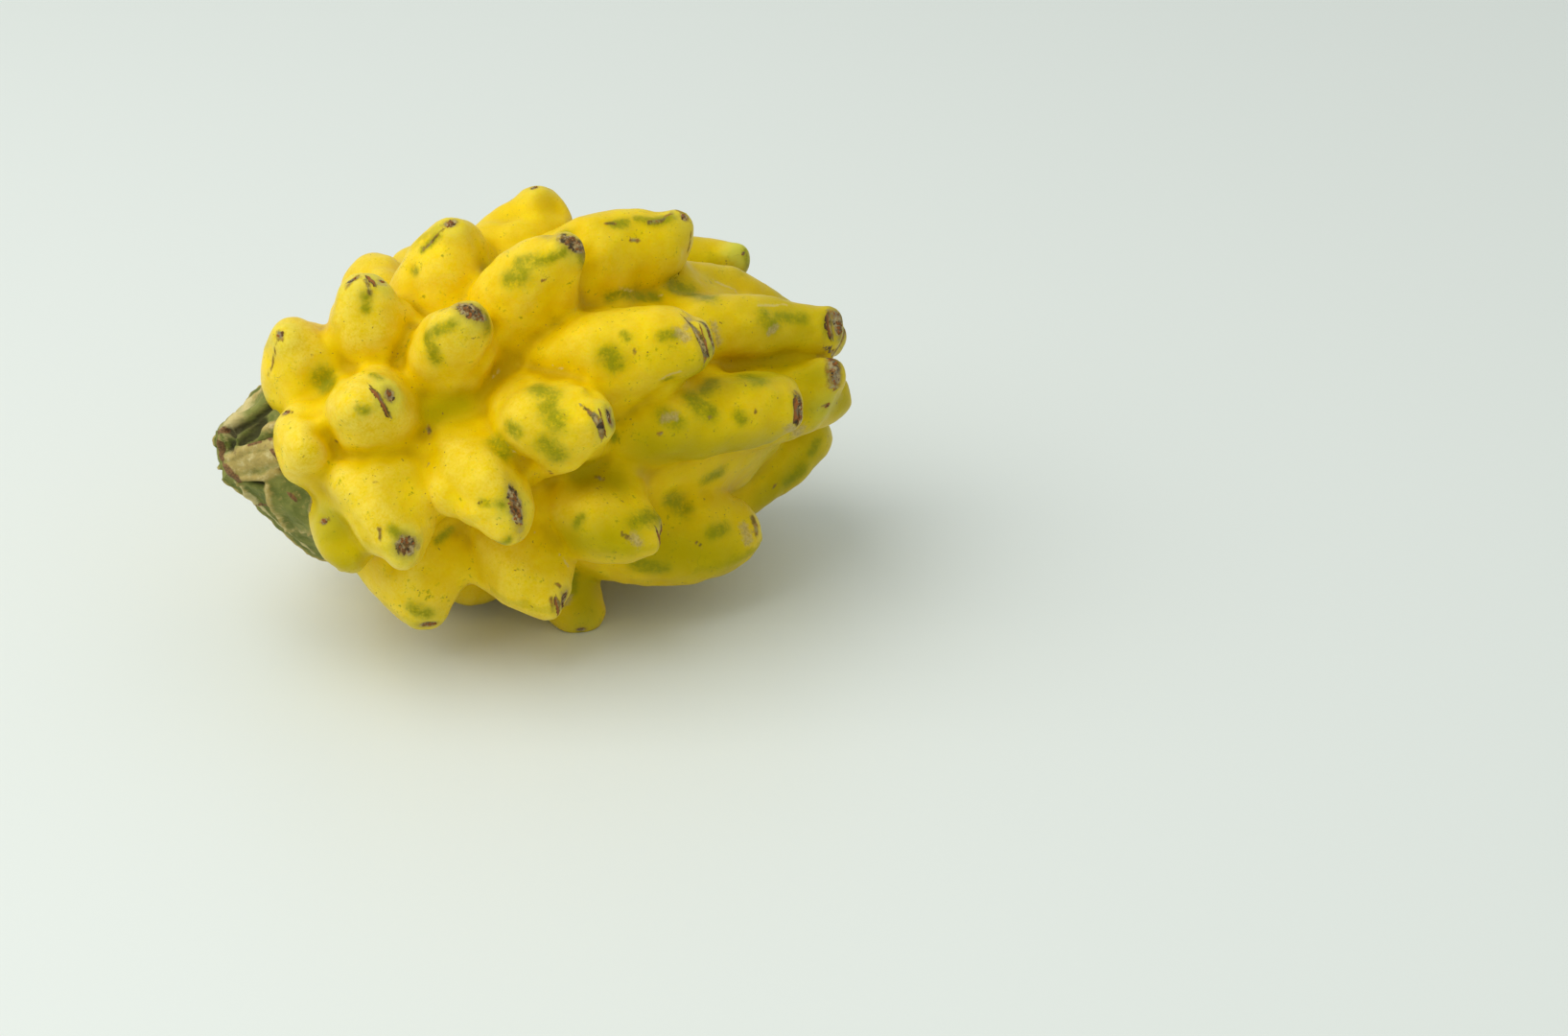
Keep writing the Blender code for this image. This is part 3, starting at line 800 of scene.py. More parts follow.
# Crust and scar are half lengths in mm. The crust has one round the fruit and one along it. The scar
# runs round the fruit, before is how far it lies on the stem side of the crust, and turn twists both.
# Halo is the strength of the pale green ring, and keel that of the streak that runs towards the stem.
Mark = namedtuple("Mark", "pixel crust_round crust_along scar before turn halo keel")
MARKS = {
    (-9, "a"): Mark((340, 543), 0.4, 0.5, 0.0, 1.0, 0, 0.3, 0.0),
    (-8, "a"): Mark((299, 432), 0.5, 0.5, 0.0, 1.0, 0, 0.2, 0.0),
    (-7, "a"): Mark((292, 349), 0.4, 0.5, 0.0, 1.0, 0, 0.4, 0.3),
    (-5, "b"): Mark((424, 569), 1.3, 1.4, 0.0, 1.8, 0, 1.0, 0.2),
    (-4, "b"): Mark((406, 412), 0.9, 0.75, 3.1, 1.7, 24, 1.0, 0.3),
    (-3, "b"): Mark((396, 295), 0.35, 0.6, 1.3, 1.7, 20, 1.0, 0.5),
    (-2, "a"): Mark((446, 649), 0.6, 1.2, 0.0, 1.0, 0, 0.6, 0.3),
    (-2, "b"): Mark((367, 292), 0.3, 0.8, 0.0, 1.0, 0, 0.5, 0.2),
    (-1, "a"): Mark((539, 528), 2.9, 1.1, 0.0, 1.2, 4, 0.9, 0.2),
    (0, "a"): Mark((493, 324), 2.2, 1.0, 0.0, 1.8, 52, 0.9, 0.0),
    (1, "a"): Mark((470, 233), 0.6, 0.9, 0.0, 1.0, 0, 0.5, 0.6),
    (2, "b"): Mark((588, 625), 1.3, 0.9, 1.8, 1.6, 0, 0.5, 0.4),
    (3, "b"): Mark((636, 436), 1.2, 0.5, 3.0, 1.9, 12, 1.0, 0.2),
    (4, "b"): Mark((600, 255), 2.3, 0.9, 0.0, 1.6, 55, 0.8, 0.0),
    (5, "b"): Mark((557, 196), 0.5, 0.5, 0.0, 1.0, 0, 0.3, 0.0),
    (5, "a"): Mark((606, 654), 0.4, 0.6, 0.0, 1.0, 0, 0.3, 0.0),
    (7, "a"): Mark((744, 350), 2.2, 0.5, 4.2, 2.2, 6, 1.0, 0.1),
    (8, "a"): Mark((713, 227), 0.6, 0.5, 0.0, 1.0, 0, 0.5, 0.8),
    (9, "a"): Mark((773, 264), 0.2, 0.2, 0.0, 1.0, 0, 1.5, 0.4),
    (10, "b"): Mark((838, 428), 2.0, 0.8, 2.8, 0.9, 0, 0.5, 0.0),
    (11, "b"): Mark((875, 338), 1.9, 0.9, 2.4, 1.6, 0, 0.4, 0.2),
    (13, "a"): Mark((861, 421), 0.4, 0.4, 0.0, 1.0, 0, 0.6, 0.0),
    (14, "a"): Mark((870, 386), 2.2, 0.8, 0.0, 1.0, 0, 0.2, 0.0),
}
# This one looks over the mound in front of it, and the photograph shows no crust there.
BARE = {(-6, "a")}
MARK_SEED = 11
AREOLE_SPACING = 9 * MM
# The marks that don't show are drawn from these, and a scar of 0 is no scar.
HIDDEN_CRUST_ROUND = (0.5, 1.8)
HIDDEN_CRUST_ALONG = (0.5, 1.2)
HIDDEN_SCARS = (0.0, 2.4, 3.2)
HIDDEN_BEFORE = (1.4, 2.0)
HIDDEN_TURN = (-15, 15)
HIDDEN_HALO = (0.4, 1.0)
HIDDEN_KEEL = (0.0, 0.8)
mark_chance = random.Random(MARK_SEED)


def hidden_mark():
    """A mark for a tubercle that the photograph doesn't show."""
    draw = mark_chance.uniform
    return Mark(
        None, draw(*HIDDEN_CRUST_ROUND), draw(*HIDDEN_CRUST_ALONG), mark_chance.choice(HIDDEN_SCARS),
        draw(*HIDDEN_BEFORE), draw(*HIDDEN_TURN), draw(*HIDDEN_HALO), draw(*HIDDEN_KEEL),
    )


Areole = namedtuple("Areole", "place normal along round mark")


def areole_at(name, tip):
    """The areole of a tubercle: its place on the skin and the directions there."""
    mark = MARKS.get(name) or hidden_mark()
    place = normal = None
    if mark.pixel:
        place, normal = seen_at(mark.pixel, skin_tree)
    if place is None:
        place, normal, _, _ = skin_tree.find_nearest(tip)
    along = (Vector((1, 0, 0)) - normal * normal.x).normalized()
    along.rotate(Quaternion(normal, math.radians(mark.turn)))
    return Areole(place, normal, along, normal.cross(along), mark)


areoles = [areole_at(name, tips[name]) for name in MARKS]
for name, tip in tips.items():
    areole = areole_at(name, tip)
    alone = all((areole.place - other.place).length > AREOLE_SPACING for other in areoles)
    if name not in MARKS and name not in BARE and alone:
        areoles.append(areole)
print(len(areoles), "areoles,", len(MARKS), "of them placed from the photograph")

# %% [markdown]
# The skin is then sculpted, by moving its points along their normals. It gets broad uneven lumps, a
# dimple under each crust with a low ring round it, a groove for the scar with a lip on its stem side,
# and a keel that runs back towards the stem. After that the three tips that the fruit rests on are
# cut flat on the table.

# %% Sculpt lumps, dimples and keels
# In mm, apart from the dimple's width, which is a share of its crust's, and the scar's bend. The
# least size keeps a mark without a crust or a scar from dividing by nothing.
BROAD_LUMPS = (5.2, 0.52)
SMALL_LUMPS = (2.2, 0.19)
NIPPLE_WIDTH = 2.6
NIPPLE = 0.65
DIMPLE_WIDTH = 0.9
DIMPLE = 0.45
RING_BEYOND = 1.2
RING_WIDTH = 0.8
RING = 0.15
GROOVE = 0.45
GROOVE_WIDTH = 0.45
LIP_BEHIND = 0.9
LIP_WIDTH = 0.5
LIP = 0.30
SCAR_BEND = 0.07
SCAR_REACH = 4
LEAST_SIZE = 0.01
KEEL_STARTS = (-8, -4)
KEEL_ENDS = (-2.5, -0.8)
KEEL_WIDTH = 0.9
KEEL_RIDGE = 0.45
INSIDE_BOX = 0.05 * MM


def lumps(points, size, height):
    """Uneven heights in mm, with lumps about size mm wide."""
    scale = 1 / (size * MM)
    return np.array([noise.noise(Vector(point) * scale) for point in points]) * height


def of_areoles(name, nearest):
    """A direction of each point's nearest areole."""
    return np.array([getattr(areole, name) for areole in areoles])[nearest]


def of_marks(name, nearest):
    """A value of the mark of each point's nearest areole."""
    return np.array([getattr(areole.mark, name) for areole in areoles])[nearest]


def near_areole(points):
    """Each point's nearest areole, and its place from there in mm: along, round and out."""
    places = np.array([areole.place for areole in areoles])
    nearest = np.argmin(((points[:, None, :] - places[None, :, :]) ** 2).sum(axis=2), axis=1)
    offsets = (points - places[nearest]) / MM
    axes = [of_areoles(name, nearest) for name in ("along", "round", "normal")]
    return nearest, np.stack([(offsets * axis).sum(axis=1) for axis in axes], axis=1)


def sculpted_height(points):
    """How far each point of the skin moves out, in mm."""
    nearest, local = near_areole(points)
    along, around, out = local.T
    away = np.linalg.norm(local, axis=1)
    height = lumps(points, *BROAD_LUMPS) + lumps(points, *SMALL_LUMPS)
    crust = (of_marks("crust_round", nearest) + of_marks("crust_along", nearest)) / 2
    height += NIPPLE * bell(away, NIPPLE_WIDTH)
    height -= DIMPLE * bell(away, DIMPLE_WIDTH * crust) * np.minimum(crust, 1)
    height += RING * bell(away - crust - RING_BEYOND, RING_WIDTH)
    scar = of_marks("scar", nearest)
    from_scar = along + of_marks("before", nearest) - SCAR_BEND * around**2
    beside = np.clip(1 - (around / np.maximum(scar, LEAST_SIZE)) ** 2, 0, 1)
    beside *= np.abs(out) < SCAR_REACH
    height -= GROOVE * bell(from_scar, GROOVE_WIDTH) * beside
    height += LIP * bell(from_scar + LIP_BEHIND, LIP_WIDTH) * beside
    keel = of_marks("keel", nearest) * ease(along, *KEEL_STARTS) * (1 - ease(along, *KEEL_ENDS))
    height += KEEL_RIDGE * keel * bell(around, KEEL_WIDTH)
    return height


points = points_of(skin)
move_points(skin, points + normals_of(skin) * sculpted_height(points)[:, None] * MM)

with editing(skin):
    bpy.ops.mesh.bisect(plane_co=(0, 0, 0), plane_no=(0, 0, 1), clear_inner=True, use_fill=True)


def fit_inside(made, low, high):
    """Squeezes an object's points by a hair where it stands outside the box from low to high."""
    points = points_of(made)
    for axis in range(3):
        lowest = points[:, axis].min()
        highest = points[:, axis].max()
        share = (points[:, axis] - lowest) / (highest - lowest)
        points[:, axis] = mix(max(lowest, low[axis]), min(highest, high[axis]), share)
    move_points(made, points)


fruit_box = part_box("fruit")
margin = Vector((INSIDE_BOX, INSIDE_BOX, 0))
fit_inside(skin, fruit_box[0] + margin, fruit_box[1] - margin - Vector((0, 0, INSIDE_BOX)))
tell(skin)

# %% [markdown]
# The material needs to know about the shape. Each point of the mesh keeps how far it stands out, its
# place from the nearest areole, and the sizes and strengths of that areole's marks.

# %% Keep values for the material


def store(made, name, values):
    """Keeps a number or a vector for each point of the mesh, for its material to read."""
    kind = "FLOAT" if values.ndim == 1 else "FLOAT_VECTOR"
    attribute = made.data.attributes.new(name, kind, "POINT")
    attribute.data.foreach_set("value" if values.ndim == 1 else "vector", np.ravel(values))


def three_of_marks(names):
    """Three values of the nearest mark as one vector for each point."""
    return np.stack([of_marks(name, nearest) for name in names], axis=1)


points = points_of(skin)
normals = normals_of(skin)
nearest, local = near_areole(points)
store(skin, "relief", relief_of(skin))
store(skin, "from_areole", local)
store(skin, "away", np.linalg.norm(local, axis=1))
store(skin, "crust_and_scar", three_of_marks(("crust_along", "crust_round", "scar")))
store(skin, "before_halo_keel", three_of_marks(("before", "halo", "keel")))
skin_tree = tree_of(skin)

# %% [markdown]
# The skin is also blotched: soft green patches where it ripened late, brown bruises on edges
# and tips, and pale scratches. Each is a stroke over a few pixels of the photograph, laid on the skin
# along the camera's rays. The sides that the photograph doesn't show get the same kinds of blotch at
# places drawn by a seeded rule.

# %% Paint patches, bruises and scratches
# A stroke: its half width in mm, then the pixels that it runs through.
STROKES = {
    "green": [
        (1.5, (700, 520), (712, 531)), (1.0, (742, 556), (756, 550)),
        (1.2, (664, 588), (690, 592)), (1.1, (822, 502), (836, 490)),
        (0.8, (846, 472), (852, 462)), (1.0, (736, 500), (752, 492)),
        (1.5, (560, 404), (574, 412)), (1.5, (572, 424), (580, 440)),
        (1.6, (571, 464), (580, 474)), (1.1, (538, 450), (532, 446)),
        (1.5, (634, 370), (642, 378)), (0.9, (636, 309), (650, 306), (684, 310)),
        (1.5, (532, 290), (544, 285)), (1.0, (540, 274), (556, 270)),
        (0.7, (558, 275), (574, 270), (590, 261)), (1.0, (607, 264), (609, 274)),
        (0.9, (444, 352), (456, 344), (472, 338)), (1.1, (508, 332), (509, 343)),
        (1.1, (450, 362), (454, 374)), (0.8, (382, 308), (382, 322)),
        (1.7, (336, 393), (340, 399)), (1.3, (518, 462), (526, 472)),
        (0.6, (502, 525), (524, 526)), (0.8, (458, 562), (468, 552)),
        (0.9, (640, 234), (652, 232)), (0.7, (664, 228), (684, 232), (696, 228)),
        (1.7, (703, 299), (720, 305), (736, 310)), (1.5, (798, 330), (806, 338)),
        (0.9, (812, 330), (838, 332)), (1.6, (780, 392), (790, 396)),
        (1.4, (722, 416), (730, 424), (740, 430)), (1.1, (734, 408), (742, 398)),
        (1.2, (692, 433), (706, 440)), (0.9, (770, 432), (774, 438)),
        (1.4, (664, 544), (686, 538)), (0.7, (636, 440), (640, 456)),
        (0.6, (738, 368), (744, 356)), (0.6, (777, 262), (779, 280)),
        (0.6, (374, 426), (382, 428)), (0.6, (388, 390), (396, 394)),
        (0.8, (690, 350), (704, 348)), (0.6, (694, 396), (698, 394)),
        (0.6, (650, 348), (654, 352)), (0.7, (600, 548), (606, 540)),
        (0.6, (441, 260), (456, 246)), (0.6, (431, 282), (434, 284)),
        (1.0, (430, 634), (446, 640)), (0.7, (408, 552), (420, 560)),
        (0.9, (596, 616), (598, 600)), (0.7, (530, 563), (520, 566)),
    ],
    "brown": [
        (0.7, (785, 540), (789, 556)), (0.6, (866, 450), (869, 468)),
        (0.3, (726, 566), (730, 568)), (0.3, (806, 508), (809, 505)),
        (0.35, (291, 352), (286, 370), (280, 390)), (0.4, (290, 346), (294, 354)),
        (0.3, (462, 240), (452, 250), (441, 260)), (0.4, (632, 233), (640, 233)),
        (0.35, (676, 232), (690, 230), (702, 221)), (0.45, (706, 219), (716, 226)),
        (0.3, (718, 228), (720, 246), (717, 262)), (0.4, (658, 250), (666, 251)),
        (0.5, (362, 298), (374, 288)), (0.45, (381, 292), (386, 306)),
        (0.7, (864, 326), (878, 332), (881, 346)), (0.6, (880, 346), (876, 358), (868, 370)),
        (1.4, (870, 376), (868, 388), (870, 398)), (0.45, (829, 408), (835, 418), (835, 432)),
        (0.4, (438, 650), (462, 650)), (0.35, (858, 423), (862, 422)),
        (0.4, (622, 497), (628, 500)), (0.35, (648, 556), (656, 561)),
        (0.4, (446, 446), (448, 450)), (0.35, (788, 428), (788, 429)),
        (0.3, (740, 435), (741, 435)), (0.35, (573, 491), (575, 494)),
        (0.35, (687, 453), (690, 452)), (0.3, (350, 459), (352, 461)),
        (0.3, (390, 502), (391, 502)), (0.35, (580, 608), (584, 612)),
        (0.45, (575, 624), (577, 636)), (0.3, (661, 366), (662, 368)),
        (0.3, (499, 523), (501, 524)), (0.3, (447, 484), (447, 485)),
        (0.35, (296, 431), (304, 430)), (0.3, (565, 292), (568, 293)),
        (0.3, (340, 542), (344, 540)), (0.3, (395, 550), (396, 562)),
    ],
    # Olive strokes: a real olive tint that also paints shade, on undersides, behind neighbours and on the
    # side away from the lamp.
    "olive_with_shade": [
        (4.0, (690, 570), (760, 585)), (3.0, (800, 520), (840, 480)),
        (4.0, (345, 545), (355, 580)), (3.0, (600, 562), (650, 565)),
        (3.0, (730, 387), (850, 388)), (3.0, (850, 425), (880, 420)),
        (4.0, (680, 466), (800, 462)), (3.0, (612, 610), (612, 640)),
        (2.5, (610, 500), (640, 500)), (2.0, (450, 430), (480, 420)),
    ],
    "papery": [
        (0.9, (776, 550), (780, 562)), (0.7, (660, 560), (668, 566)),
        (0.8, (708, 346), (716, 352)), (0.5, (718, 332), (716, 342)),
        (0.5, (802, 347), (810, 340)), (0.7, (868, 328), (874, 338)),
        (0.9, (824, 446), (832, 452)), (0.5, (836, 436), (838, 446)),
        (0.6, (692, 436), (704, 434)), (0.6, (745, 338), (748, 356)),
        (0.5, (636, 428), (638, 442)), (0.5, (430, 562), (436, 570)),
        (0.5, (594, 622), (590, 630)), (0.4, (395, 296), (402, 297)),
    ],
    "pale": [
        (0.16, (509, 401), (518, 388), (528, 378)), (0.2, (534, 569), (545, 562), (558, 554)),
        (0.2, (584, 578), (593, 592), (602, 606)), (0.25, (688, 396), (700, 390), (710, 387)),
        (0.25, (645, 300), (660, 304), (690, 308)), (0.3, (744, 292), (768, 304), (790, 318), (820, 318)),
        (0.14, (526, 458), (536, 470), (546, 478)), (0.14, (576, 380), (590, 386)),
    ],
}
# For the hidden sides: how many strokes of a kind are tried, and their least and greatest half width.
HIDDEN_STROKES = {
    "green": (60, 0.7, 1.8), "brown": (40, 0.25, 0.5), "olive_with_shade": (16, 2.0, 4.0),
    "papery": (12, 0.4, 0.8), "pale": (16, 0.2, 0.4),
}
HIDDEN_LENGTH = 2.5 * MM
FACES_AWAY = -0.1
# The stub is brown, and the hollow round it is olive, with painted shade in that olive, and papery, out
# to these distances in mm.
AT_STUB = {"brown": (2.6, 4.6), "papery": (3.4, 5.4), "olive_with_shade": (5.0, 10.0)}


def hidden_strokes(chance, tries, narrowest, widest):
    """Short strokes at drawn places, where those are out of the camera's sight."""
    strokes = []
    for _ in range(tries):
        index = chance.randrange(len(points))
        if normals[index] @ np.array(back) <= FACES_AWAY:
            step = np.array([chance.uniform(-1, 1) for _ in range(3)]) * HIDDEN_LENGTH
            end, _, _, _ = skin_tree.find_nearest(Vector(points[index] + step))
            strokes.append((chance.uniform(narrowest, widest), [points[index], np.array(end)]))
    return strokes


stroke_chance = random.Random(MARK_SEED)
for kind, strokes in STROKES.items():
    hidden = hidden_strokes(stroke_chance, *HIDDEN_STROKES[kind])
    painted = paint(points, laid_on(skin_tree, strokes) + hidden)
    if kind in AT_STUB:
        painted = np.maximum(painted, at_blossom_end(points, *AT_STUB[kind]))
    store(skin, kind, painted)
    print(kind, "strokes cover", round(100 * float((painted > 0.5).mean()), 1), "percent of the skin")

# %% [markdown]
# Materials are built one node at a time, and these helpers keep that short. A value that comes from
# another node is linked, and a plain number is set on the socket. A Wire stands for what comes out of
# a node, so that adding or multiplying two wires makes the Math node for it.

# %% Helpers for materials


class Wire:
    """A value that comes out of a node, for formulas."""

    def __init__(self, look, socket):
        self.look = look
        self.socket = socket

    def __add__(self, other):
        return self.look.math("ADD", self, other)

    def __sub__(self, other):
        return self.look.math("SUBTRACT", self, other)

    def __mul__(self, other):
        return self.look.math("MULTIPLY", self, other)

    def __truediv__(self, other):
        return self.look.math("DIVIDE", self, other)

    def __abs__(self):
        return self.look.math("ABSOLUTE", self)

    def rise(self, low, high):
        """0 below low, 1 above high, and a smooth rise between. It falls where low is above high."""
        made = self.look.node("MapRange", self, low, high, interpolation_type="SMOOTHSTEP")
        return self.look.wire(made)


class Look:
    """A node material in the making."""

    def __init__(self, name):
        self.material = bpy.data.materials.new(name)
        self.material.use_nodes = True
        self.nodes = self.material.node_tree.nodes
        self.shader = self.nodes["Principled BSDF"]

    def wire(self, node, output=0):
        return Wire(self, node.outputs[output])

    def connect(self, value, socket):
        if isinstance(value, Wire):
            self.material.node_tree.links.new(value.socket, socket)
        else:
            socket.default_value = value

    def node(self, kind, *values, **settings):
        """Adds a node, sets it, and fills its first inputs."""
        made = self.nodes.new("ShaderNode" + kind)
        for name, setting in settings.items():
            setattr(made, name, setting)
        sockets = [socket for socket in made.inputs if socket.enabled]
        for value, socket in zip(values, sockets):
            self.connect(value, socket)
        return made

    def math(self, operation, *values):
        return self.wire(self.node("Math", *values, operation=operation))

    def highest(self, first, second):
        return self.math("MAXIMUM", first, second)

    def attribute(self, name, output="Fac"):
        return self.wire(self.node("Attribute", attribute_name=name), output)

    def apart(self, vector):
        """The three numbers of a vector."""
        made = self.node("SeparateXYZ", vector)
        return [self.wire(made, output) for output in range(3)]

    def millimetres(self):
        """The place on the object in mm."""
        place = self.wire(self.node("TexCoord"), "Object")
        scaled = self.node("VectorMath", place, operation="SCALE")
        scaled.inputs["Scale"].default_value = 1 / MM
        return self.wire(scaled)

    def noise(self, place, size, detail, roughness):
        """Noise whose lumps are about size mm wide, from 0 to 1."""
        return self.wire(self.node("TexNoise", place, 1 / size, detail, roughness))

    def stretched(self, place, factors):
        return self.wire(self.node("VectorMath", place, factors, operation="MULTIPLY"))

    def blend(self, share, first, second):
        """A colour between two others."""
        return self.wire(self.node("Mix", share, first, second, data_type="RGBA"), 2)

    def bump(self, strength, depth, height):
        """Small relief in the light only, depth metres deep."""
        made = self.node("Bump", strength, depth)
        self.connect(height, made.inputs["Height"])
        return self.wire(made)

    def finish(self, **inputs):
        """Sets the shader's inputs, whose names are written in small letters here."""
        for name, value in inputs.items():
            self.connect(value, self.shader.inputs[name.replace("_", " ").title().replace("Ior", "IOR")])
        return self.material


def put_on(made, material):
    """Gives an object one material."""
    made.data.materials.clear()
    made.data.materials.append(material)
    print(material.name, "put on", made.name)


# %% [markdown]
# The skin is waxy: a soft gloss over a yellow that is cream on the crests, a painted highlight broken by
# a cloudy mottle, and deep in the valleys, partly the skin's own colour and partly painted shade, with
# painted shade in the creases. It is finely mottled, and olive towards the blossom end, where the olive
# also paints the shade on the side away from the lamp. Near each areole come, one over another, a pale
# green halo, a green keel, the scar of the scale and the crust. Noise breaks up every edge.

# %% Skin material
YELLOW = (0.85, 0.57, 0.0, 1)
# The cream below is a painted highlight for the crests.
CREAM_HIGHLIGHT = (0.89, 0.69, 0.085, 1)
# The amber below is the valleys' deeper yellow with painted shade in it, and the crease colour after it
# is painted shade.
AMBER_AND_SHADE = (0.77, 0.50, 0.0, 1)
CREASE_SHADE = (0.56, 0.35, 0.0, 1)
# The olive below is a real tint that also stands in for shade, as painted shade.
OLIVE_AND_SHADE = (0.42, 0.34, 0.0, 1)
GREEN = (0.235, 0.245, 0.004, 1)
PAPERY = (0.55, 0.43, 0.17, 1)
FLAKE = (0.36, 0.27, 0.11, 1)
PALE_GREEN = (0.62, 0.60, 0.07, 1)
GOLD = (0.90, 0.65, 0.0, 1)
MUSTARD = (0.68, 0.47, 0.0, 1)
STAIN = (0.34, 0.24, 0.05, 1)
BROWN = (0.17, 0.085, 0.03, 1)
DARK = (0.065, 0.05, 0.03, 1)
RUST = (0.33, 0.12, 0.03, 1)
GREY = (0.26, 0.23, 0.15, 1)
TAN = (0.50, 0.39, 0.19, 1)
SCRATCH = (0.66, 0.52, 0.17, 1)
# Each noise has the size of its lumps in mm, its detail and its roughness.
BROAD = (9.0, 2, 0.55)
UNEVEN = (2.6, 3, 0.6)
CLOUDY = (1.7, 6, 0.75)
MOTTLE = (1.3, 4, 0.6)
PATCHES = (0.9, 3, 0.6)
FLECKS = (0.75, 3, 0.7)
RAGGED = (0.6, 4, 0.65)
SPECKS = (0.5, 1, 0.5)
PORES = (0.45, 2, 0.5)
DOTS = (0.38, 2, 0.6)
# Between these values, in mm, a mask goes from nothing to full. The crests' painted highlight goes
# from 1 down to 0.35 along the fruit, strongest at the stem end, which faces the lamp.
HIGHLIGHT_STATIONS = (-34, 4, 1.0, 0.35)
OLIVE_SHADE_STATIONS = (5, 46)
KEEL_SIDE = (1.1, 0.2)
KEEL_BACK = (-7.5, -4.5)
KEEL_FRONT = (-0.8, -2.0)
HALO_REACH = (4.2, 1.2)
AREOLE_REACH = (6.5, 5.5)
SCAR_HALF_WIDTH = 0.5
# How much of the colour below it each layer covers at most.
COVER = {
    "mustard": 0.5, "olive_with_shade": 0.85, "flecks": 0.75, "specks": 0.7, "keel": 0.7, "halo": 0.6,
    "green": 0.88, "pale": 0.7, "papery": 0.75, "brown": 0.85, "scar": 0.9, "stain": 0.5,
}
SKIN_ROUGHNESS = 0.28
SKIN_GLOSS = 0.32
SKIN_GLOSS_COLOUR = (1.0, 0.8, 0.08, 1.0)
GLOW = 0.12
GLOW_REACH = (0.004, 0.002, 0.0002)
GLOW_SCALE = 0.6
SKIN_BUMP = (0.5, 0.35 * MM)


def ground_colour(look, place, along, uneven, broad, dots):
    """The skin's yellow: painted highlight on the crests, painted shade in valleys and creases, olive
    with painted shade at the end.
    """
    relief = look.attribute("relief")
    colour = look.blend(uneven.rise(0.32, 0.68), YELLOW, GOLD)
    colour = look.blend(broad.rise(0.62, 0.35) * COVER["mustard"], colour, MUSTARD)
    # Painted shade: by the relief, the valleys darken to amber and the creases darker still.
    colour = look.blend(relief.rise(-0.6, 0.15), AMBER_AND_SHADE, colour)
    colour = look.blend(relief.rise(-0.2, -0.65), colour, CREASE_SHADE)
    # Painted highlight: the crests are paled towards cream, most at the stem end, which faces the lamp,
    # and broken up by a cloudy mottle.
    lit_stem_side = look.wire(look.node("MapRange", along, *HIGHLIGHT_STATIONS))
    cloudy = look.noise(place, *CLOUDY)
    crest_highlight = relief.rise(-0.25, 0.55) * lit_stem_side * (cloudy * 0.9 + dots * 0.5).rise(0.45, 0.9)
    colour = look.blend(crest_highlight, colour, CREAM_HIGHLIGHT)
    # Painted shade mixed with a real olive tint: olive grows towards the blossom end, on the side away
    # from the lamp, and under the olive strokes.
    end = look.highest(along.rise(*OLIVE_SHADE_STATIONS) * broad.rise(0.2, 0.7), look.attribute("olive_with_shade"))
    return look.blend(end * COVER["olive_with_shade"], colour, OLIVE_AND_SHADE)


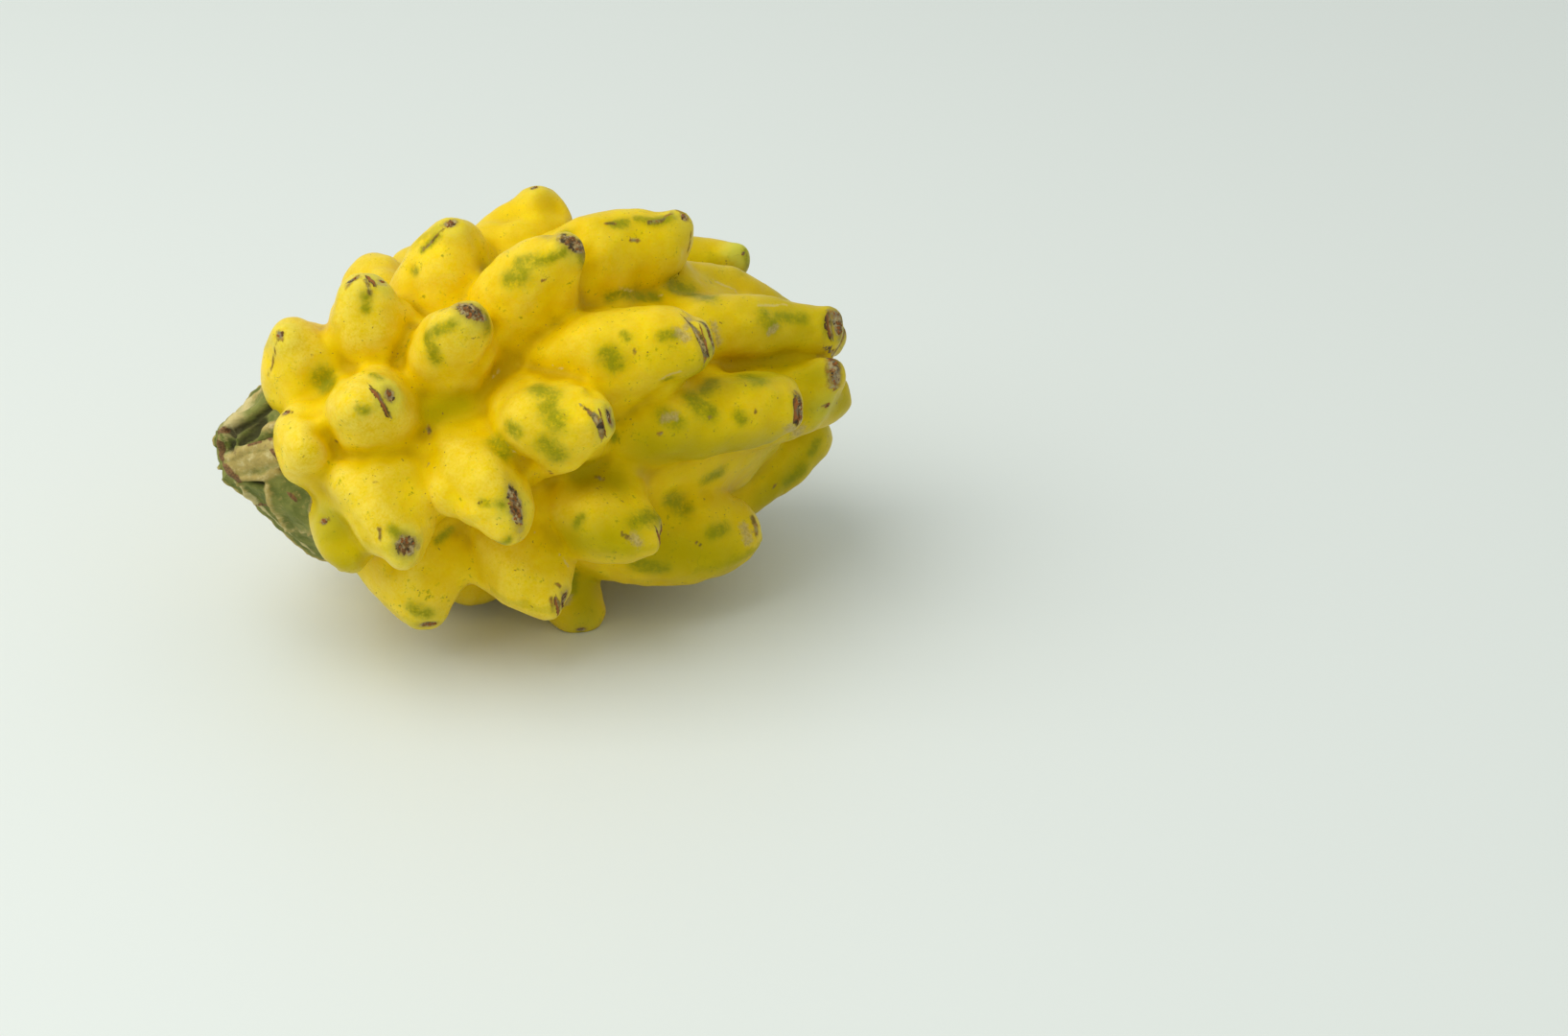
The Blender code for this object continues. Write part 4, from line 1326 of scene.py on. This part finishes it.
def skin_look():
    """The skin's material: its ground colour, blotches, areole marks and gloss."""
    look = Look("waxy_yellow_skin")
    place = look.millimetres()
    along = look.apart(place)[0]
    broad = look.noise(place, *BROAD)
    uneven = look.noise(place, *UNEVEN)
    mottle = look.noise(place, *MOTTLE)
    ragged = look.noise(place, *RAGGED)
    dots = look.noise(place, *DOTS)
    wobble = ragged - 0.5
    wide_wobble = mottle - 0.5
    colour = ground_colour(look, place, along, uneven, broad, dots)

    fleck_places = uneven.rise(0.48, 0.62) * broad.rise(0.35, 0.6)
    flecks = look.noise(place, *FLECKS).rise(0.55, 0.7) * fleck_places
    colour = look.blend(flecks * COVER["flecks"], colour, GREEN)
    specks = look.noise(place, *SPECKS).rise(0.7, 0.76) * uneven.rise(0.45, 0.6)
    colour = look.blend(specks * COVER["specks"], colour, BROWN)

    # The keel and the halo come first, so that the scar and the crust lie over them.
    ahead, aside, _ = look.apart(look.attribute("from_areole", "Vector"))
    crust_along, crust_round, scar_size = look.apart(look.attribute("crust_and_scar", "Vector"))
    before, halo_strength, keel_strength = look.apart(look.attribute("before_halo_keel", "Vector"))
    away = look.attribute("away")
    keel = (abs(aside) + wide_wobble * 2.2).rise(*KEEL_SIDE) * ahead.rise(*KEEL_BACK)
    keel = keel * ahead.rise(*KEEL_FRONT) * keel_strength
    colour = look.blend(keel * COVER["keel"], colour, GREEN)
    halo = (away + wide_wobble * 3.0).rise(*HALO_REACH) * halo_strength
    colour = look.blend(halo * COVER["halo"], colour, PALE_GREEN)

    green = look.attribute("green") * (wide_wobble * 1.6 + (dots - 0.5) * 1.2 + 1.0)
    colour = look.blend(green.rise(-0.05, 1.2) * COVER["green"], colour, GREEN)
    pale = look.attribute("pale") + wobble * 1.1
    colour = look.blend(pale.rise(0.4, 0.9) * COVER["pale"], colour, SCRATCH)
    papery = look.attribute("papery") + (wobble * 1.4 + wide_wobble)
    flaked = look.blend(dots.rise(0.35, 0.65), FLAKE, PAPERY)
    colour = look.blend(papery.rise(0.2, 1.0) * COVER["papery"], colour, flaked)
    brown = (look.attribute("brown") + wobble * 0.9).rise(0.35, 0.95)
    dry = look.blend(mottle.rise(0.42, 0.58), BROWN, RUST)
    dry = look.blend(ragged.rise(0.6, 0.4), dry, look.blend(uneven.rise(0.42, 0.58), DARK, GREY))
    colour = look.blend(brown * COVER["brown"], colour, dry)

    # The scar bends round the crust: its middle lies furthest towards the stem.
    from_scar = abs(ahead + (before - aside * aside * SCAR_BEND))
    along_scar = aside / look.highest(scar_size, LEAST_SIZE)
    taper = along_scar * along_scar
    close = away.rise(*AREOLE_REACH)
    scar = (from_scar / SCAR_HALF_WIDTH + taper + wobble * 1.4).rise(1.15, 0.65) * close
    skinned = taper.rise(0.3, 0.05) * from_scar.rise(0.3, 0.1) * ragged.rise(0.42, 0.55)
    colour = look.blend(scar * COVER["scar"], colour, look.blend(skinned, dry, TAN))

    across = ahead / look.highest(crust_along, LEAST_SIZE)
    around = aside / look.highest(crust_round, LEAST_SIZE)
    from_crust = look.math("SQRT", across * across + around * around) + wide_wobble * 1.2
    colour = look.blend(from_crust.rise(2.0, 0.9) * close * COVER["stain"], colour, STAIN)
    crust = (from_crust + wobble * 1.2).rise(1.25, 0.75) * close
    crusty = look.blend(look.noise(place, *PATCHES).rise(0.42, 0.66), dry, TAN)
    colour = look.blend(crust, colour, crusty)

    dull = look.highest(look.highest(crust, scar), brown)
    pores = look.noise(place, *PORES) * 0.25 + mottle * 0.5 + dull * ragged * 1.2
    return look.finish(
        base_color=colour, roughness=dull * 0.4 + mottle * 0.25 + SKIN_ROUGHNESS,
        normal=look.bump(*SKIN_BUMP, pores),
        specular_ior_level=SKIN_GLOSS, specular_tint=SKIN_GLOSS_COLOUR,
        subsurface_weight=GLOW, subsurface_radius=GLOW_REACH, subsurface_scale=GLOW_SCALE,
    )


put_on(skin, skin_look())
skin.data.shade_smooth()
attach(skin, "root")
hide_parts("fruit")

# %% [markdown]
# The crusts are real crumbs, and beside them stand the curled remains of the scales. One crumb and
# one scale are modelled, and each copy is set on the skin where its areole's mark says.

# %% Crumbs and scales
DRY_GREY = (0.19, 0.155, 0.09, 1)
DRY_TAN = (0.38, 0.28, 0.12, 1)
CRUMB_SEED = 23
CRUMB_SIZE = (0.16, 0.36)
CRUMB_JITTER = 0.3
CRUMB_PROPORTIONS = (1.0, 0.75, 0.45)
CRUMB_CUT = (0, 0, -0.3)
LOWEST_CRUMB = 0.03 * MM
CRUMBS_LEAST = 3
CRUMBS_PER_AREA = 9
CRUMB_MIDDLE_SIZE = 1.1
CRUMB_SHRINKS = 0.4
CRUMB_PATCH = 1.1 * MM
CRUMB_TONE = 0.36
CRUMB_PATCH_TONE = 0.75
CRUMB_TONE_SPREAD = 0.12
# A scale's widths and heights are in mm, and back is how far it stands behind its scar.
SCALE_STEPS = 14
SCALE_WIDTH = 0.5
SCALE_BACK = 0.45
SCALE_MIDDLE = 0.2
SCALE_TAPER = 0.93
SCALE_THICKNESS = 0.10
SCALE_SINKS = 0.05
SCALE_TILT = (0.7, 1.2)
SCALE_LIFT = 0.32
SCALE_RIPPLE = 0.12
SCALE_RIPPLES = 3
SCALE_RIPPLE_PLACE = 7.0
SCALE_TONE = 0.12
SCALE_EDGE_TONE = 0.5


def make_crumb():
    """A small angular crumb of about radius 1, flatter below."""
    bpy.ops.object.select_all(action="DESELECT")
    bpy.ops.mesh.primitive_ico_sphere_add(subdivisions=1, radius=1)
    made = bpy.context.object
    with editing(made):
        bpy.ops.transform.resize(value=CRUMB_PROPORTIONS)
        bpy.ops.mesh.bisect(plane_co=CRUMB_CUT, plane_no=(0, 0, 1), clear_inner=True, use_fill=True)
    return made


def make_scale():
    """A thin leaf along Y, from -1 to 1, that is set on the skin point by point."""
    bpy.ops.object.select_all(action="DESELECT")
    bpy.ops.mesh.primitive_grid_add(x_subdivisions=3, y_subdivisions=SCALE_STEPS, size=2)
    made = bpy.context.object
    with editing(made):
        bpy.ops.mesh.extrude_region_move(TRANSFORM_OT_translate={"value": (0, 0, 1)})
        bpy.ops.mesh.select_all(action="SELECT")
        bpy.ops.mesh.normals_make_consistent(inside=False)
    return made


def on_skin(areole, along, around):
    """The place and normal on the skin at a distance in mm along and round from an areole."""
    near = areole.place + (areole.along * along + areole.round * around) * MM
    place, normal, _, _ = skin_tree.find_nearest(near)
    return place, normal


def set_crumb(crumb, areole, chance):
    """Sets a copy of the crumb somewhere on an areole's crust."""
    angle = chance.uniform(0, 2 * math.pi)
    out = math.sqrt(chance.random())
    along = math.cos(angle) * out * areole.mark.crust_along
    place, normal = on_skin(areole, along, math.sin(angle) * out * areole.mark.crust_round)
    size = chance.uniform(*CRUMB_SIZE) * MM * (CRUMB_MIDDLE_SIZE - CRUMB_SHRINKS * out)
    turned = normal.to_track_quat("Z", "Y") @ Quaternion((0, 0, 1), chance.uniform(0, 2 * math.pi))
    copy = copy_of(crumb)
    for vertex in copy.data.vertices:
        jitter = Vector([chance.uniform(-CRUMB_JITTER, CRUMB_JITTER) for _ in range(3)])
        vertex.co = place + turned @ ((vertex.co + jitter) * size)
        vertex.co.z = max(vertex.co.z, LOWEST_CRUMB)
    tone = CRUMB_TONE + CRUMB_PATCH_TONE * noise.noise(place / CRUMB_PATCH)
    tone += chance.uniform(-CRUMB_TONE_SPREAD, CRUMB_TONE_SPREAD)
    store(copy, "tone", np.full(len(copy.data.vertices), tone))
    return copy


def set_scale(scale, areole, chance):
    """Sets a copy of the scale along an areole's scar, with its free edge lifted."""
    copy = copy_of(scale)
    tilt = chance.uniform(*SCALE_TILT)
    tones = []
    for vertex in copy.data.vertices:
        across, along, layer = vertex.co
        to_edge = 0.5 + across / 2
        tones.append(SCALE_TONE + SCALE_EDGE_TONE * tilt * (1 - along * along) * to_edge)
        taper = 1 - along * along * SCALE_TAPER
        around = along * areole.mark.scar
        width = SCALE_WIDTH * taper * (across - SCALE_MIDDLE) / 2
        behind = SCAR_BEND * around**2 - areole.mark.before - SCALE_BACK + width
        place, normal = on_skin(areole, behind, around)
        curl = SCALE_LIFT * tilt * taper * to_edge**2
        ripple = SCALE_RIPPLE * noise.noise(Vector((along * SCALE_RIPPLES, across, SCALE_RIPPLE_PLACE)))
        height = curl + ripple * taper + (layer - 0.5) * SCALE_THICKNESS - SCALE_SINKS
        vertex.co = place + normal * height * MM
        vertex.co.z = max(vertex.co.z, LOWEST_CRUMB)
    store(copy, "tone", np.array(tones))
    return copy


crumb_chance = random.Random(CRUMB_SEED)
crumb = make_crumb()
scale = make_scale()
dried = []
for areole in areoles:
    area = areole.mark.crust_along * areole.mark.crust_round
    for _ in range(CRUMBS_LEAST + round(CRUMBS_PER_AREA * area)):
        dried.append(set_crumb(crumb, areole, crumb_chance))
    if areole.mark.scar:
        dried.append(set_scale(scale, areole, crumb_chance))
bpy.data.objects.remove(crumb)
bpy.data.objects.remove(scale)
crusts = dried.pop()
crusts.name = "areole_crusts"
join_to(crusts, dried)
tell(crusts)

# %% [markdown]
# One material serves every crumb and scale. Each carries a tone of its own, and the tone picks its
# colour, from nearly black through rust to a dry tan.

# %% Crust material
CRUST_FINE = (0.4, 3, 0.6)
CRUST_PATCHY = (1.5, 2, 0.5)
CRUST_ROUGHNESS = 0.85
CRUST_GLOSS = 0.15
CRUST_BUMP = (0.5, 0.1 * MM)


def crust_look():
    """The material of the crumbs and scales, by their tone."""
    look = Look("dry_crust")
    place = look.millimetres()
    fine = look.noise(place, *CRUST_FINE)
    patchy = look.noise(place, *CRUST_PATCHY) - 0.5
    mixed = look.attribute("tone") + (fine - 0.5) * 0.4 + patchy * 0.8
    colour = look.blend(mixed.rise(0.0, 0.25), DARK, BROWN)
    colour = look.blend(mixed.rise(0.2, 0.45), colour, RUST)
    colour = look.blend(mixed.rise(0.5, 0.7), colour, DRY_GREY)
    colour = look.blend(mixed.rise(0.7, 0.9), colour, DRY_TAN)
    return look.finish(
        base_color=colour, roughness=CRUST_ROUGHNESS, specular_ior_level=CRUST_GLOSS,
        normal=look.bump(*CRUST_BUMP, fine),
    )


put_on(crusts, crust_look())
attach(crusts, "root")

# %% [markdown]
# The stem piece is what is left of the cactus stem: a dried, ridged cap that grips the fruit's stem
# end, with a torn lower rim and a shrunken cut at its far end. It starts as a column like that of the
# tubercles, with more and finer rings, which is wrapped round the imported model's sections.

# %% Stem piece
# Station, height above the axis, half height and half width, in mm, from the rim to inside the cut.
STEM_SECTIONS = [
    (-37.4, -1.3, 13.6, 13.2),
    (-38.8, -0.9, 13.3, 12.7),
    (-40.5, -0.1, 12.2, 11.6),
    (-42.5, 0.8, 10.0, 9.8),
    (-44.5, 1.7, 7.8, 7.8),
    (-46.5, 2.3, 6.2, 6.0),
    (-47.8, 2.4, 5.0, 4.8),
    (-48.4, 2.4, 4.2, 4.0),
    (-48.0, 2.4, 3.2, 3.0),
    (-46.2, 2.4, 1.6, 1.5),
]
STEM_SIDES = 210
STEM_RINGS = 60
STEM_RIDGES = 6
STEM_RIDGE_TURN = 30.0
STEM_RIDGE_SHARPNESS = 2.5
STEM_HOLLOW = 0.15
STEM_SKIRT = 6.2 * MM
STEM_SKIRT_TURN = -45.0
STEM_SKIRT_FROM = -43.0
STEM_SKIRT_TO = -37.0
STEM_FLARE = 5.0 * MM
STEM_TOP_SINKS = 0.25
STEM_SINKS_FROM = -39.0
STEM_SINKS_TO = -44.0


def section_at(share):
    """The stem's section at a share of the way along its profile."""
    sections = np.array(STEM_SECTIONS)
    steps = np.linalg.norm(np.diff(sections[:, [0, 2]], axis=0), axis=1)
    way = np.concatenate([[0], np.cumsum(steps)]) / steps.sum()
    return [float(np.interp(share, way, column)) for column in sections.T]


def stem_ridge(turn):
    """1 on the crest of a ridge and 0 in the middle of the panel between two."""
    return abs(math.cos(math.radians((turn - STEM_RIDGE_TURN) * STEM_RIDGES / 2))) ** STEM_RIDGE_SHARPNESS


def stem_point(section, turn):
    """The place of a point of the stem: its section, shaped by ridges, a sunken top and a skirt."""
    station, height, half_height, half_width = section
    outward = outward_at(turn)
    share = mix(1 - STEM_HOLLOW, 1.0, stem_ridge(turn))
    sunk = min(max((station - STEM_SINKS_FROM) / (STEM_SINKS_TO - STEM_SINKS_FROM), 0.0), 1.0)
    share *= 1 - STEM_TOP_SINKS * sunk * max(outward.z, 0.0)
    along = (station - STEM_SKIRT_FROM) / (STEM_SKIRT_TO - STEM_SKIRT_FROM)
    skirt = max(0.0, math.cos(math.radians(turn - STEM_SKIRT_TURN))) * min(max(along, 0.0), 1.0)
    y = outward.y * (half_width * MM * share + skirt * STEM_FLARE)
    z = height * MM + outward.z * (half_height * MM * share + skirt * STEM_FLARE)
    return MOVE + Vector((station * MM + skirt * STEM_SKIRT, y, z))


stem = make_column(STEM_SIDES, STEM_RINGS)
stem.name = "stem_piece_dried"
stem_shares = points_of(stem)[:, 2].copy()
sections = {}
for vertex in stem.data.vertices:
    share = round(vertex.co.z, 4)
    if share not in sections:
        sections[share] = section_at(share)
    turn = math.degrees(math.atan2(vertex.co.y, vertex.co.x))
    vertex.co = stem_point(sections[share], turn)
with editing(stem):
    bpy.ops.mesh.normals_make_consistent(inside=False)
tell(stem)

# %% [markdown]
# The ridges, creases and torn rims that show in the photograph are laid on the stem as strokes, the
# way the skin's blotches were. Here they also push the surface out or in. The sides that don't show
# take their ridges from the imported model's rule.

# %% Sculpt the stem piece
# Strokes as on the skin: the half width in mm, then the pixels.
STEM_STROKES = {
    "cream": [
        (1.9, (276, 398), (255, 416), (235, 438)),
        (0.45, (244, 508), (262, 530), (284, 553), (304, 573), (326, 581)),
    ],
    "tan": [
        (1.1, (279, 398), (258, 418), (239, 437)),
        (1.6, (240, 488), (262, 481), (292, 474)),
        (0.9, (236, 478), (256, 468), (288, 463)),
        (0.7, (250, 500), (270, 500), (294, 490)),
        (0.8, (274, 446), (292, 440), (300, 432)),
        (0.35, (246, 506), (254, 518), (264, 526)),
        (0.5, (277, 508), (280, 526), (291, 543)),
        (0.35, (298, 556), (326, 558)),
        (0.4, (302, 568), (314, 577), (327, 578)),
        (0.4, (329, 502), (327, 520), (325, 538)),
        (0.4, (288, 540), (297, 553), (303, 570)),
    ],
    "brown": [
        (0.7, (229, 447), (225, 455), (225, 464), (228, 476)),
        (0.7, (228, 476), (234, 488), (246, 502)),
        (0.3, (278, 456), (283, 460)),
        (0.3, (300, 516), (308, 524)),
        (0.25, (262, 527), (275, 531)),
        (0.3, (284, 470), (290, 478)),
        (0.25, (272, 462), (258, 465)),
    ],
    # These strokes press crevices in and paint them near black: painted shade in the crevices and under
    # the roll.
    "crevice_shade": [
        (0.55, (284, 416), (264, 434), (243, 446)),
        (0.6, (236, 456), (236, 470)), (1.0, (268, 438), (248, 456)),
        (0.4, (292, 492), (312, 500), (326, 502)), (0.5, (334, 500), (333, 528)),
        (0.5, (233, 446), (240, 450)),
        (0.3, (252, 506), (272, 506)),
        (0.3, (246, 462), (262, 459), (282, 452)),
    ],
}
# How far each kind of stroke pushes the surface out, in mm.
STEM_HEIGHTS = {"cream": 0.0, "tan": 0.8, "brown": 0.3, "crevice_shade": -1.2}
STEM_PANEL_DEPTH = 0.5
STEM_WRINKLES = (2.2, 0.35)
STEM_FIBRES = (0.9, 0.16)
STEM_UNSEEN = (-0.25, 0.1)
RIDGE_TAN = (0.5, 0.95)
RIM_TEAR = 1.1
RIM_TEARS = 3
RIM_TEAR_PLACE = 2.0
RIM_SHARE = 0.07


def tear_at(turn):
    """How the rim is torn at a turn, from -1 to 1."""
    angle = math.radians(turn)
    around = Vector((math.cos(angle) * RIM_TEARS, math.sin(angle) * RIM_TEARS, RIM_TEAR_PLACE))
    return noise.noise(around)


points = points_of(stem)
normals = normals_of(stem)
stem_tree = tree_of(stem)
painted = {kind: paint(points, laid_on(stem_tree, rows)) for kind, rows in STEM_STROKES.items()}
turns = np.degrees(np.arctan2(points[:, 2] - MOVE.z, -(points[:, 1] - MOVE.y)))
ridges = np.array([stem_ridge(turn) for turn in turns])
hidden = 1 - ease(normals @ np.array(back), *STEM_UNSEEN)
rim = 1 - ease(stem_shares, 0, RIM_SHARE)
painted["tan"] = np.maximum(painted["tan"], ease(ridges, *RIDGE_TAN) * hidden)
height = sum(STEM_HEIGHTS[kind] * values for kind, values in painted.items()) - STEM_PANEL_DEPTH
height += lumps(points, *STEM_WRINKLES) + lumps(points, *STEM_FIBRES)
moved = points + normals * height[:, None] * MM
moved[:, 0] += np.array([tear_at(turn) for turn in turns]) * RIM_TEAR * MM * rim
painted["tan"] = np.maximum(painted["tan"], rim)
move_points(stem, moved)
stem_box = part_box("stem_piece")
stem_margin = Vector((INSIDE_BOX, INSIDE_BOX, INSIDE_BOX))
fit_inside(stem, stem_box[0] + stem_margin, stem_box[1] - stem_margin)
for kind, values in painted.items():
    store(stem, kind, values)
tell(stem)

# %% [markdown]
# The stem piece is matt and dry. Its panels are still green, its ridges have corked over in tan, and
# its rims have died back to brown. Its crevices are painted near black, as painted shade.

# %% Stem material
PANEL_GREEN = (0.13, 0.155, 0.03, 1)
PANEL_LIGHT = (0.24, 0.25, 0.06, 1)
CORK = (0.47, 0.36, 0.11, 1)
CREAM_CORK = (0.66, 0.56, 0.26, 1)
RAW_CORK = (0.30, 0.22, 0.08, 1)
# The near-black colour below is painted shade for the stem's crevices.
CREVICE_SHADE = (0.03, 0.027, 0.01, 1)
DEAD_BROWN = (0.12, 0.06, 0.028, 1)
DEAD_RUST = (0.26, 0.12, 0.05, 1)
STEM_BROAD = (3.5, 3, 0.55)
STEM_FIBRE = (0.7, 4, 0.65)
STEM_FIBRE_STRETCH = (0.45, 1, 1)
STEM_FINE = (0.35, 3, 0.7)
STEM_CORKY = (1.4, 5, 0.7)
STEM_COVER = {"fibre": 0.5, "cream": 0.8, "crevice_shade": 0.85, "brown": 0.9}
STEM_ROUGHNESS = 0.8
STEM_GLOSS = 0.2
STEM_BUMP = (0.7, 0.3 * MM)


def stem_look():
    """The stem's material: green panels, then cork, painted shade in the crevices and dead rims over
    them.
    """
    look = Look("dried_green_stem")
    place = look.millimetres()
    broad = look.noise(place, *STEM_BROAD)
    fibre = look.noise(look.stretched(place, STEM_FIBRE_STRETCH), *STEM_FIBRE)
    fine = look.noise(place, *STEM_FINE)
    corky = look.noise(place, *STEM_CORKY)
    wobble = (fibre - 0.5) * 0.8
    tan = (look.attribute("tan") + wobble).rise(0.2, 0.95)
    cream = (look.attribute("cream") + wobble).rise(0.1, 0.7)
    crevice_shade = (look.attribute("crevice_shade") + wobble).rise(0.25, 0.9)
    brown = (look.attribute("brown") + wobble).rise(0.35, 0.7)

    colour = look.blend(broad.rise(0.35, 0.65), PANEL_GREEN, PANEL_LIGHT)
    colour = look.blend(fibre.rise(0.5, 0.75) * STEM_COVER["fibre"], colour, CORK)
    cork = look.blend(corky.rise(0.3, 0.45), RAW_CORK, CORK)
    cork = look.blend(corky.rise(0.48, 0.7), cork, CREAM_CORK)
    colour = look.blend(tan, colour, cork)
    colour = look.blend(cream * STEM_COVER["cream"], colour, CREAM_CORK)
    # Painted shade: the crevices and the hollow under the roll are painted near black.
    colour = look.blend(crevice_shade * STEM_COVER["crevice_shade"], colour, CREVICE_SHADE)
    dead = look.blend(fine.rise(0.4, 0.6), DEAD_BROWN, DEAD_RUST)
    colour = look.blend(brown * STEM_COVER["brown"], colour, dead)
    return look.finish(
        base_color=colour, roughness=STEM_ROUGHNESS, specular_ior_level=STEM_GLOSS,
        normal=look.bump(*STEM_BUMP, fibre + fine * 0.5),
    )


put_on(stem, stem_look())
stem.data.shade_smooth()
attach(stem, "root")
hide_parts("stem_piece")
